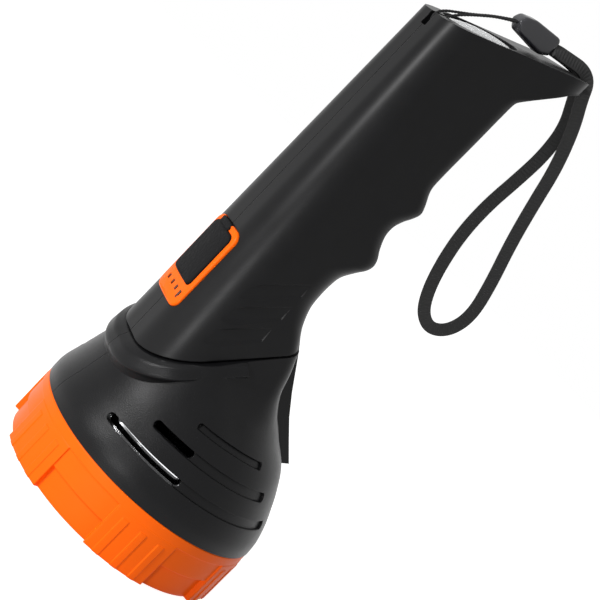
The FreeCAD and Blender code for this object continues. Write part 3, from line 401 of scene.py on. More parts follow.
def new_object(name: str, data: bpy.types.ID) -> bpy.types.Object:
    """Object with some data, linked to the scene."""
    thing = bpy.data.objects.new(name, data)
    bpy.context.scene.collection.objects.link(thing)
    return thing


def face_outwards(mesh: bpy.types.Mesh) -> None:
    """Turn the faces of a closed mesh outwards.

    Args:
        mesh: The mesh.
    """
    work = bmesh.new()
    work.from_mesh(mesh)
    bmesh.ops.recalc_face_normals(work, faces=work.faces)
    work.to_mesh(mesh)
    work.free()


def bake_modifiers(thing: bpy.types.Object) -> None:
    """Keep the result of an object's modifiers as its plain mesh.

    Args:
        thing: The object, which has no modifiers afterwards.
    """
    graph = bpy.context.evaluated_depsgraph_get()
    mesh = bpy.data.meshes.new_from_object(thing.evaluated_get(graph))
    thing.modifiers.clear()
    old, thing.data = thing.data, mesh
    bpy.data.meshes.remove(old)


def skin(rows: int, width: int, looped: bool) -> list[list[int]]:
    """Faces between neighbouring rows of points, where each row is closed on itself.

    Args:
        rows: Number of rows.
        width: Points in a row.
        looped: Whether the last row joins the first one.

    Returns:
        The corner numbers of each face.
    """
    low = np.arange(width)
    ring = np.stack([low, np.roll(low, -1), np.roll(low, -1) + width, low + width], 1)
    starts = np.arange(rows if looped else rows - 1) * width
    return ((ring[None] + starts[:, None, None]) % (rows * width)).reshape(-1, 4).tolist()


def capped_skin(rows: int, width: int) -> list[list[int]]:
    """Faces between neighbouring rows of points and over the first and last row."""
    start = (rows - 1) * width
    return skin(rows, width, False) + [list(range(width))[::-1], list(range(start, start + width))]


class Solid:
    """Closed mesh under construction, in millimetres."""

    def __init__(self, vertices: Sequence | np.ndarray, faces: Sequence[Sequence[int]]) -> None:
        """Make a mesh object with its faces turned outwards.

        Args:
            vertices: Points in millimetres.
            faces: Corner numbers of each face.
        """
        mesh = bpy.data.meshes.new("solid")
        mesh.from_pydata(np.asarray(vertices, float).tolist(), [], faces)
        face_outwards(mesh)
        self.thing = new_object("solid", mesh)

    @classmethod
    def from_rows(cls, rows: np.ndarray) -> "Solid":
        """Skin over closed rows of points, capped at both ends.

        Args:
            rows: Array of rows, columns and coordinates.

        Returns:
            The closed solid.
        """
        return cls(rows.reshape(-1, 3), capped_skin(*rows.shape[:2]))

    @classmethod
    def from_loop(cls, rows: np.ndarray) -> "Solid":
        """Skin over closed rows of points, whose last row joins the first one.

        Args:
            rows: Array of rows, columns and coordinates.

        Returns:
            The solid ring.
        """
        return cls(rows.reshape(-1, 3), skin(*rows.shape[:2], True))

    @classmethod
    def side_prism(cls, outline: Sequence[tuple[float, float]], low: float, high: float) -> "Solid":
        """Prism across Y.

        Args:
            outline: Its outline in X and Z.
            low: Lowest Y.
            high: Highest Y.

        Returns:
            The prism.
        """
        points = np.array(outline, float)
        rows = [np.stack([points[:, 0], np.full(len(points), y), points[:, 1]], 1) for y in (low, high)]
        return cls.from_rows(np.array(rows))

    @classmethod
    def block(cls, low: Point, high: Point) -> "Solid":
        """Block between two corners."""
        return cls.side_prism([(low[0], low[2]), (high[0], low[2]), (high[0], high[2]),
                               (low[0], high[2])], low[1], high[1])

    @classmethod
    def above(cls, x: float, z: float, angle: float, shift: float = 0.0) -> "Solid":
        """Everything above a plane that holds the Y direction and rises by angle along X.

        Args:
            x: Place of a point of the plane.
            z: Its height.
            angle: Rise in degrees.
            shift: Distance by which the plane moves along its normal.

        Returns:
            A large block on that plane.
        """
        t = math.radians(angle)
        along, normal = np.array([math.cos(t), math.sin(t)]), np.array([-math.sin(t), math.cos(t)])
        base = np.array([x, z]) + shift * normal
        corners = [base - FAR * along, base + FAR * along,
                   base + FAR * along + FAR * normal, base - FAR * along + FAR * normal]
        return cls.side_prism([tuple(c) for c in corners], -FAR, FAR)

    @classmethod
    def rod(cls, radius: float, start: Sequence[float], end: Sequence[float], sides: int = 64) -> "Solid":
        """Cylinder between two points.

        Args:
            radius: Its radius.
            start: Middle of one end.
            end: Middle of the other end.
            sides: Number of its sides.

        Returns:
            The cylinder.
        """
        a, b = np.array(start, float), np.array(end, float)
        way = (b - a) / np.linalg.norm(b - a)
        side = np.cross(way, (0.0, 0.0, 1.0) if abs(way[2]) < 0.9 else (1.0, 0.0, 0.0))
        side /= np.linalg.norm(side)
        other = np.cross(way, side)
        turn = np.linspace(0, 2 * math.pi, sides, endpoint=False)[:, None]
        ring = radius * (np.cos(turn) * side + np.sin(turn) * other)
        return cls.from_rows(np.array([a + ring, b + ring]))

    @classmethod
    def ring(cls, profile: np.ndarray, sides: int = 180) -> "Solid":
        """Closed profile turned about the main axis.

        Args:
            profile: Radius and height of its points, one row each.
            sides: Number of steps in the turn.

        Returns:
            The solid ring.
        """
        turn = np.linspace(0, 2 * math.pi, sides, endpoint=False)
        rows = np.stack([np.outer(np.cos(turn), profile[:, 0]), np.outer(np.sin(turn), profile[:, 0]),
                         np.tile(profile[:, 1], (sides, 1))], 2)
        return cls.from_loop(rows)

    def combine(self, tool: "Solid", how: Join) -> "Solid":
        """Combine with another solid, which is used up.

        Args:
            tool: The other solid.
            how: Add, cut away or keep what both share.

        Returns:
            This solid.
        """
        modifier = self.thing.modifiers.new("combine", "BOOLEAN")
        modifier.operation = how.value
        modifier.solver = "MANIFOLD"
        modifier.object = tool.thing
        bake_modifiers(self.thing)
        tool.drop()
        return self

    def add(self, *tools: "Solid") -> "Solid":
        """Join other solids to this one."""
        for tool in tools:
            self.combine(tool, Join.ADD)
        return self

    def cut(self, *tools: "Solid") -> "Solid":
        """Cut other solids out of this one."""
        for tool in tools:
            self.combine(tool, Join.CUT)
        return self

    def keep(self, tool: "Solid") -> "Solid":
        """Keep what lies inside another solid."""
        return self.combine(tool, Join.KEEP)

    def copy(self) -> "Solid":
        """Second solid of the same shape."""
        twin = Solid.__new__(Solid)
        twin.thing = new_object("solid", self.thing.data.copy())
        return twin

    def on_side(self, side: Half) -> "Solid":
        """Turn a solid that was made for the left half over to one side.

        Args:
            side: The side that it is for.

        Returns:
            This solid.
        """
        if side is Half.RIGHT:
            self.thing.data.transform(Matrix.Scale(-1, 4, (0, 1, 0)))
            self.thing.data.flip_normals()
        return self

    def drop(self) -> None:
        """Remove this solid from the scene."""
        mesh = self.thing.data
        bpy.data.objects.remove(self.thing)
        bpy.data.meshes.remove(mesh)

    def half(self, side: Half, gap: float = 0.13) -> "Solid":
        """The part on one side of the parting plane, with a hairline gap to the other."""
        low, high = (-FAR, -gap) if side is Half.LEFT else (gap, FAR)
        return self.copy().keep(Solid.block((-FAR, low, -FAR), (FAR, high, 2 * FAR)))

    def in_metres(self) -> bpy.types.Object:
        """Mesh object of this solid, scaled to metres."""
        self.thing.data.transform(Matrix.Scale(MM, 4))
        return self.thing

    def piece(self, name: str, finish: Finish, body: Body, nodes: Sequence[str],
              sharp: float = 32.0) -> bpy.types.Object:
        """Scale to metres, smooth, give it its finish and set it on its body.

        Args:
            name: Name of the piece.
            finish: Its finish.
            body: Body that it rides on.
            nodes: Solids of the frame that it stands for.
            sharp: Angle in degrees past which an edge stays sharp.

        Returns:
            The finished object.
        """
        return dress(self.in_metres(), name, finish, body, nodes, sharp)


def dress(thing: bpy.types.Object, name: str, finish: Finish, body: Body, nodes: Sequence[str],
          sharp: float = 32.0) -> bpy.types.Object:
    """Smooth a mesh, give it its finish and let it ride on its body.

    Args:
        thing: Mesh object in metres.
        name: Name of the piece.
        finish: Its finish.
        body: Body that it rides on.
        nodes: Solids of the frame that it stands for.
        sharp: Angle in degrees past which an edge stays sharp.

    Returns:
        The same object.
    """
    thing.name = name
    thing.data.name = name
    thing.data.shade_smooth()
    thing.data.set_sharp_from_angle(angle=math.radians(sharp))
    thing.data.materials.clear()
    thing.data.materials.append(finish.material())
    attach(thing, body.value)
    if nodes:
        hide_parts(*nodes)
    LOG.info("%s: %d faces on %s", name, len(thing.data.polygons), body.value)
    return thing


def smooth_copy(node: str, name: str, finish: Finish, body: Body, sharp: float = 32.0,
                soft: float = 0.0) -> bpy.types.Object:
    """Merged and smoothed copy of a solid of the frame, which it replaces.

    Args:
        node: Name of the solid.
        name: Name of the piece.
        finish: Its finish.
        body: Body that it rides on.
        sharp: Angle in degrees past which an edge stays sharp.
        soft: Radius in millimetres by which its edges are rounded.

    Returns:
        The piece.
    """
    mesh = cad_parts[node].data.copy()
    work = bmesh.new()
    work.from_mesh(mesh)
    bmesh.ops.remove_doubles(work, verts=work.verts, dist=WELD)
    work.to_mesh(mesh)
    work.free()
    thing = new_object(name, mesh)
    if soft:
        soften(thing, soft)
    return dress(thing, name, finish, body, [node], sharp)


def soften(thing: bpy.types.Object, radius: float, voxels: int = 4, passes: int = 16) -> None:
    """Round all edges of a closed mesh.

    Args:
        thing: Mesh object in metres.
        radius: Radius of the edges in millimetres.
        voxels: Voxels of the new mesh in that radius.
        passes: How many times the new mesh is smoothed.
    """
    grid = thing.modifiers.new("grid", "REMESH")
    grid.mode = "VOXEL"
    grid.voxel_size = radius / voxels * MM
    smooth = thing.modifiers.new("smooth", "SMOOTH")
    smooth.factor = 0.5
    smooth.iterations = passes
    bake_modifiers(thing)


def carry(node: str, finish: Finish) -> None:
    """Keep a solid of the frame as it is and give it its finish.

    Args:
        node: Name of the solid.
        finish: Its finish.
    """
    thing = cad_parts[node]
    material = finish.material()
    if not thing.material_slots:
        thing.data.materials.append(material)
    for holder in thing.material_slots:
        holder.material = material


def through(table: Sequence[Sequence[float]], column: int, z: float) -> float:
    """Smooth value of one column of a table of heights, read at a height.

    Args:
        table: Rows that start with a height.
        column: Column to read.
        z: Height.

    Returns:
        The value at that height.
    """
    last = len(table) - 2
    i = max(k for k in range(last + 1) if k == 0 or table[k][0] <= z)
    z0, z1 = table[i][0], table[i + 1][0]
    v0, v1 = table[i][column], table[i + 1][column]
    before, after = table[max(i - 1, 0)], table[min(i + 2, last + 1)]
    rise0 = (v1 - before[column]) / (z1 - before[0])
    rise1 = (after[column] - v0) / (after[0] - z0)
    t = (z - z0) / (z1 - z0)
    bend = (z1 - z0) * ((t ** 3 - 2 * t ** 2 + t) * rise0 + (t ** 3 - t ** 2) * rise1)
    return v0 + (3 * t ** 2 - 2 * t ** 3) * (v1 - v0) + bend


def arc(centre: tuple[float, float], radius: float, start: float, end: float, steps: int) -> np.ndarray:
    """Points of a circle's arc between two angles in degrees, both ends in."""
    turn = np.radians(np.linspace(start, end, steps + 1))
    return np.stack([centre[0] + radius * np.cos(turn), centre[1] + radius * np.sin(turn)], 1)


def rounded_outline(low: float, high: float, half: float, low_corner: float, high_corner: float,
                    steps: int = 20) -> np.ndarray:
    """Rounded rectangle in a plane.

    Args:
        low: Lowest place along the first axis.
        high: Highest place along it.
        half: Half width along the second axis.
        low_corner: Corner radius at the low end.
        high_corner: Corner radius at the high end.
        steps: Steps of each corner.

    Returns:
        Its points in order, one row each.
    """
    a, b = low_corner, high_corner
    corners = [
        arc((high - b, -half + b), b, -90, 0, steps), arc((high - b, half - b), b, 0, 90, steps),
        arc((low + a, half - a), a, 90, 180, steps), arc((low + a, -half + a), a, 180, 270, steps),
    ]
    parts = []
    for here, after in zip(corners, corners[1:] + corners[:1]):
        parts.append(here)
        parts.append(here[-1] + (after[0] - here[-1]) * np.linspace(0, 1, 8)[1:-1, None])
    return np.concatenate(parts)


def raised(outline: np.ndarray, x: float, z: float, angle: float) -> np.ndarray:
    """Outline set into a plane through a point of the side view that rises by angle along X."""
    t = math.radians(angle)
    return np.stack([x + outline[:, 0] * math.cos(t), outline[:, 1],
                     z + outline[:, 0] * math.sin(t)], 1)


# Geometry nodes


class NodeTree:
    """Geometry node tree under construction."""

    def __init__(self, name: str) -> None:
        """Start a tree with a geometry input and output."""
        self.tree = bpy.data.node_groups.new(name, "GeometryNodeTree")
        self.tree.interface.new_socket("Geometry", in_out="OUTPUT", socket_type="NodeSocketGeometry")
        self.tree.interface.new_socket("Geometry", in_out="INPUT", socket_type="NodeSocketGeometry")
        self.entry = self.tree.nodes.new("NodeGroupInput")
        self.exit = self.tree.nodes.new("NodeGroupOutput")

    def number(self, name: str, whole: bool = False) -> str:
        """Named input of the tree.

        Args:
            name: Its name.
            whole: Whether it is a whole number.

        Returns:
            Its identifier.
        """
        kind = "NodeSocketInt" if whole else "NodeSocketFloat"
        return self.tree.interface.new_socket(name, in_out="INPUT", socket_type=kind).identifier

    def add(self, kind: str, **settings: object) -> bpy.types.Node:
        """Add a node.

        Args:
            kind: Node type.
            settings: Properties of the node.

        Returns:
            The new node.
        """
        node = self.tree.nodes.new(kind)
        for key, value in settings.items():
            setattr(node, key, value)
        return node

    def link(self, source: bpy.types.NodeSocket, target: bpy.types.NodeSocket) -> None:
        """Connect two sockets."""
        self.tree.links.new(source, target)

    def close(self, geometry: bpy.types.NodeSocket, material: bpy.types.Material, merge: float) -> None:
        """Realize the instances, merge their seams, set the material and end the tree.

        Args:
            geometry: Socket with the instances.
            material: Material of the result.
            merge: Distance in metres below which points merge.
        """
        real = self.add("GeometryNodeRealizeInstances")
        weld = self.add("GeometryNodeMergeByDistance")
        weld.inputs["Distance"].default_value = merge
        paint = self.add("GeometryNodeSetMaterial")
        paint.inputs["Material"].default_value = material
        self.link(geometry, real.inputs[0])
        self.link(real.outputs[0], weld.inputs[0])
        self.link(weld.outputs[0], paint.inputs[0])
        self.link(paint.outputs[0], self.exit.inputs[0])


def settle(thing: bpy.types.Object, tree: NodeTree, values: dict[str, float]) -> None:
    """Run a node tree on an object and keep the result as its plain mesh.

    Args:
        thing: Object to work on.
        tree: The tree.
        values: Input values by socket identifier.
    """
    modifier = thing.modifiers.new("repeat", "NODES")
    modifier.node_group = tree.tree
    for identifier, value in values.items():
        modifier[identifier] = value
    bake_modifiers(thing)


def turned_copies(material: bpy.types.Material) -> tuple[NodeTree, str]:
    """Tree that repeats its geometry evenly about the main axis.

    Args:
        material: Material of the result.

    Returns:
        The tree and the identifier of its count.
    """
    tree = NodeTree("turned_copies")
    count = tree.number("Count", whole=True)
    line = tree.add("GeometryNodeMeshLine")
    line.inputs["Offset"].default_value = (0.0, 0.0, 0.0)
    tree.link(tree.entry.outputs["Count"], line.inputs["Count"])
    index = tree.add("GeometryNodeInputIndex")
    pitch = tree.add("ShaderNodeMath", operation="DIVIDE")
    pitch.inputs[0].default_value = 2 * math.pi
    tree.link(tree.entry.outputs["Count"], pitch.inputs[1])
    angle = tree.add("ShaderNodeMath", operation="MULTIPLY")
    tree.link(index.outputs[0], angle.inputs[0])
    tree.link(pitch.outputs[0], angle.inputs[1])
    turn = tree.add("ShaderNodeCombineXYZ")
    tree.link(angle.outputs[0], turn.inputs["Z"])
    place = tree.add("GeometryNodeInstanceOnPoints")
    tree.link(line.outputs[0], place.inputs["Points"])
    tree.link(tree.entry.outputs["Geometry"], place.inputs["Instance"])
    tree.link(turn.outputs[0], place.inputs["Rotation"])
    tree.close(place.outputs[0], material, WELD)
    return tree, count


def placed_copies(template: bpy.types.Object, material: bpy.types.Material) -> NodeTree:
    """Tree that sets a copy of a template on each point of its geometry.

    Args:
        template: Object to repeat, modelled about the origin.
        material: Material of the result.

    Returns:
        The tree.
    """
    touching = 1e-7
    tree = NodeTree("placed_copies")
    source = tree.add("GeometryNodeObjectInfo")
    source.inputs["Object"].default_value = template
    place = tree.add("GeometryNodeInstanceOnPoints")
    tree.link(tree.entry.outputs["Geometry"], place.inputs["Points"])
    tree.link(source.outputs["Geometry"], place.inputs["Instance"])
    tree.close(place.outputs[0], material, touching)
    return tree


# The housing


@dataclass(frozen=True)
class Seam:
    """Sloping joint between head and grip."""

    x: float = -48.9
    z: float = 62.1
    angle: float = 38.0
    groove: float = 0.9

    def above(self, shift: float = 0.0) -> Solid:
        """Everything above the joint."""
        return Solid.above(self.x, self.z, self.angle, shift)


SEAM = Seam()


@dataclass(frozen=True)
class Screws:
    """Self-tapping screws that close the housing, entered from the right."""

    head: tuple = ((-40.0, 50.0), (27.0, 66.0))
    grip: tuple = ((0.2, 144.0), (0.0, 171.0), (-24.0, 203.0))
    radius: float = 1.45
    head_radius: float = 2.8
    head_height: float = 2.2
    head_y: float = 7.5
    reach: float = 8.0
    tip: float = 2.0
    recess: tuple = (0.5, 1.8, 1.2)
    boss: float = 4.6
    boss_y: tuple = (-12.0, 60.0)
    bore_y: float = 70.0
    head_gap: float = 0.3
    shaft_gap: float = 0.05
    end_gap: float = 0.5

    def bosses(self, places: Iterable, envelope: Solid) -> list[Solid]:
        """Boss round each screw, from wall to wall.

        Args:
            places: X and Z of each screw.
            envelope: Outside of the housing, which trims the bosses.

        Returns:
            The bosses.
        """
        low, high = self.boss_y
        return [Solid.rod(self.boss, (x, low, z), (x, high, z)).keep(envelope.copy()) for x, z in places]

    def drill(self, shell: Solid, places: Iterable) -> None:
        """Cut the counterbore and the hole of each screw.

        Args:
            shell: Half of the housing.
            places: X and Z of each screw.
        """
        end = -self.reach - self.end_gap
        for x, z in places:
            shell.cut(Solid.rod(self.head_radius + self.head_gap, (x, self.head_y, z), (x, self.bore_y, z)),
                      Solid.rod(self.radius + self.shaft_gap, (x, end, z), (x, self.head_y + 1, z), 32))

    def screw(self) -> Solid:
        """One screw about the origin, with a domed head and a cross recess.

        Returns:
            The screw, which points towards -Y.
        """
        turn = np.linspace(0, math.pi / 2, 7)
        dome = np.stack([self.head_radius * np.cos(turn) ** 0.6,
                         self.head_height * (0.45 + 0.55 * np.sin(turn))], 1)
        end = -self.reach - self.head_y
        shaft = [(0.0, end), (self.radius / 2, end + 0.6), (self.radius, end + self.tip),
                 (self.radius, 0.0), (self.head_radius, 0.0)]
        profile = np.concatenate([shaft, dome])
        profile[0, 0] = profile[-1, 0] = 0.02
        body = Solid.ring(profile, 36)
        body.thing.data.transform(Matrix.Rotation(math.radians(-90), 4, "X"))
        wide, long, deep = self.recess
        for x, z in ((wide, long), (long, wide)):
            body.cut(Solid.block((-x, self.head_height - deep, -z), (x, self.head_height + 2, z)))
        return body

    def build(self) -> None:
        """Build all screws as one piece, repeated with geometry nodes."""
        points = [(x * MM, self.head_y * MM, z * MM) for x, z in self.head + self.grip]
        template = self.screw()
        mesh = bpy.data.meshes.new("screw_points")
        mesh.from_pydata(points, [], [])
        thing = new_object("screw_points", mesh)
        settle(thing, placed_copies(template.in_metres(), SCREW_ZINC.material()), {})
        template.drop()
        dress(thing, "closing_screws", SCREW_ZINC, Body.TORCH, ["housing_screws"], 25.0)


SCREWS = Screws()


@dataclass(frozen=True)
class GripShape:
    """Form of the grip: straight top, sides that close to the tail, waved underside and hook."""

    top: float = -48.9
    front: float = 75.0
    tail: float = 222.0
    half: tuple = (25.8, 16.4)
    corner: tuple = (19.6, 10.5)
    under_flat: float = 1.5
    under_corner: tuple = (
        (75.0, 7.0), (104.0, 9.0), (117.0, 14.0), (134.0, 14.0), (141.0, 9.0), (152.0, 10.0),
        (162.0, 10.0), (170.0, 8.0), (222.0, 8.0), (231.0, 1.1),
    )
    least_corner: float = 0.8
    line: tuple = (
        (50.0, 14.0), (85.0, 14.0), (98.0, 9.6), (104.9, 4.8), (109.2, 1.6), (116.2, -1.6),
        (122.0, -2.4), (128.0, -2.3), (132.8, -1.35), (138.1, 2.35), (141.5, 5.25), (144.3, 6.3),
        (147.2, 5.5), (151.0, 2.85), (156.1, 0.45), (160.5, 0.25), (164.5, 1.75), (168.0, 4.05),
        (171.3, 5.4), (174.5, 4.25), (180.3, 1.1), (186.0, 0.6), (205.0, 0.95), (222.0, 1.15),
        (250.0, 1.3),
    )
    line_end: float = 249.0
    tail_x: float = -28.8
    tail_z: float = 235.1
    tail_angle: float = 20.5
    hook_half: float = 16.35
    hook_centre: float = 4.5
    hook_top: tuple = ((-2.0, 245.12), (8.0, 248.7), (17.0, 251.3))
    hook_past: tuple = (8.0, 0.6)
    hook_corner: float = 1.1
    hook_foot: tuple = (-14.0, 217.0)
    hook_under: tuple = ((11.0, 242.4), (17.2, 245.9))
    hook_nose: tuple = (20.9, 248.3)
    hook_blend: float = 0.4

    def taper(self, ends: tuple, z: float) -> float:
        """Size that changes evenly from the front of the grip to its tail."""
        share = (min(z, self.tail) - self.front) / (self.tail - self.front)
        return ends[0] + share * (ends[1] - ends[0])

    def hook_line(self) -> np.ndarray:
        """Underside of the hook with its nose.

        Returns:
            Its points of X and Z, rising.
        """
        foot, first, second = (np.array(p) for p in (self.hook_foot,) + self.hook_under)
        nose = circle_through(second, np.array(self.hook_nose), np.array(self.hook_top[2]), 16)
        return np.concatenate([[foot], soft_corner(foot, first, second, 2.0), nose])

    def reach(self, under: float, half: float, corner: float) -> float:
        """How far a section reaches in the direction in which its silhouette was measured.

        Args:
            under: Place of its underside.
            half: Its half width.
            corner: Radius of its lower corners.

        Returns:
            The distance from the main axis.
        """
        t = math.radians(VIEW_ANGLE)
        return math.cos(t) * (under - corner) + math.sin(t) * (half - corner) + corner

    def underside(self, reach: float, half: float, corner: float) -> float:
        """Underside of a section, from how far the section reaches.

        Args:
            reach: The distance that the method of that name gives.
            half: Its half width.
            corner: Radius of its lower corners.

        Returns:
            The place of the underside.
        """
        t = math.radians(VIEW_ANGLE)
        return (reach - corner - math.sin(t) * (half - corner)) / math.cos(t) + corner

    def lower_edge(self, z: float, hooked: bool) -> tuple[float, float]:
        """Underside at a height.

        Args:
            z: Height.
            hooked: Whether the hook is part of it.

        Returns:
            Place of the underside and radius of its lower corners.
        """
        half = self.taper(self.half, z)
        reach = self.reach(through(self.line, 1, min(z, self.line_end)), half, half - self.under_flat)
        heights, radii = zip(*(self.under_corner if hooked else self.under_corner[:-1]))
        corner = float(np.interp(z, heights, radii))
        if hooked and z > self.hook_foot[1]:
            line = self.hook_line()
            plate = self.reach(float(np.interp(z, line[:, 1], line[:, 0])), half, self.hook_corner)
            reach = (reach + plate) / 2 + math.hypot((reach - plate) / 2, self.hook_blend)
        return self.underside(reach, half, corner), corner

    def section(self, z: float, inset: float = 0.0, hooked: bool = True) -> np.ndarray:
        """Outline of the grip at a height.

        Args:
            z: Height.
            inset: Distance by which it is drawn in.
            hooked: Whether the hook is part of it.

        Returns:
            Points of the closed outline, one row each.
        """
        low = self.top + inset
        high, foot = self.lower_edge(z, hooked)
        high, foot = high - inset, max(foot - inset, self.least_corner)
        half = self.taper(self.half, z) - inset
        corner = self.taper(self.corner, z) - inset
        if high - foot > self.hook_centre:
            foot = min(foot, self.hook_corner)

        def wide(x: np.ndarray) -> np.ndarray:
            """Half width at a place, round about the hook's centre."""
            past = np.maximum(x - self.hook_centre, 0.0)
            return np.sqrt(np.maximum(self.hook_half ** 2 - past ** 2, 0.0)) - self.hook_half + half

        top = arc((low + corner, -half + corner), corner, 180, 270, 22)
        side_x = np.linspace(low + corner, high - foot, 40)[1:-1]
        side = np.stack([side_x, -wide(side_x)], 1)
        reach = max(float(wide(np.array(high - foot))), foot + 0.2)
        under = arc((high - foot, -reach + foot), foot, -90, 0, 26)
        left = np.concatenate([
            np.stack([np.full(5, low), np.linspace(0, -half + corner, 6)[:-1]], 1), top, side, under,
            np.stack([np.full(5, high), np.linspace(-reach + foot, 0, 6)[1:]], 1)])
        right = left[1:-1][::-1] * (1, -1)
        flat = np.concatenate([left, right])
        return np.concatenate([flat, np.full((len(flat), 1), z)], 1)

    def solid(self, inset: float, heights: np.ndarray, hooked: bool) -> Solid:
        """Solid through the outlines at some heights."""
        return Solid.from_rows(np.array([self.section(z, inset, hooked) for z in heights]))

    def tail_height(self, x: float) -> float:
        """Height of the slanted tail face."""
        return self.tail_z + math.tan(math.radians(self.tail_angle)) * (x - self.tail_x)

    def tail_point(self, depth: float) -> np.ndarray:
        """Point on the tail lamp's axis, below the tail face by depth."""
        t = math.radians(self.tail_angle)
        return np.array([self.tail_x + depth * math.sin(t), 0.0, self.tail_z - depth * math.cos(t)])

    def below_tail(self) -> Solid:
        """Everything below the tail face and the curved top of the hook.

        Returns:
            A prism down to the bezel's rim.
        """
        start = self.top - 6
        top = circle_through(*(np.array(p) for p in self.hook_top), 20)
        past = top[-1] + np.array(self.hook_past)
        points = [(start, self.tail_height(start)), *top, past, (past[0], 0.0), (start, 0.0)]
        return Solid.side_prism(points[::-1], -60.0, 60.0)


def circle_through(a: np.ndarray, b: np.ndarray, c: np.ndarray, steps: int) -> np.ndarray:
    """Arc through three points.

    Args:
        a: Its first point.
        b: A point on it.
        c: Its last point.
        steps: Steps along it.

    Returns:
        Its points, one row each.
    """
    m = np.array([b - a, c - b])
    centre = np.linalg.solve(m, [(b @ b - a @ a) / 2, (c @ c - b @ b) / 2])
    radius = np.linalg.norm(a - centre)
    turns = np.unwrap([math.atan2(*(p - centre)[::-1]) for p in (a, b, c)])
    return arc(tuple(centre), radius, math.degrees(turns[0]), math.degrees(turns[2]), steps)


def soft_corner(a: np.ndarray, corner: np.ndarray, b: np.ndarray, trim: float) -> np.ndarray:
    """Rounded corner between two lines.

    Args:
        a: A point on the line before it.
        corner: The sharp corner.
        b: A point on the line after it.
        trim: Distance from the corner at which the rounding starts and ends.

    Returns:
        Its points, one row each.
    """
    first = corner + (a - corner) / np.linalg.norm(a - corner) * trim
    last = corner + (b - corner) / np.linalg.norm(b - corner) * trim
    t = np.linspace(0, 1, 9)[:, None]
    return (1 - t) ** 2 * first + 2 * t * (1 - t) * corner + t ** 2 * last


GRIP = GripShape()


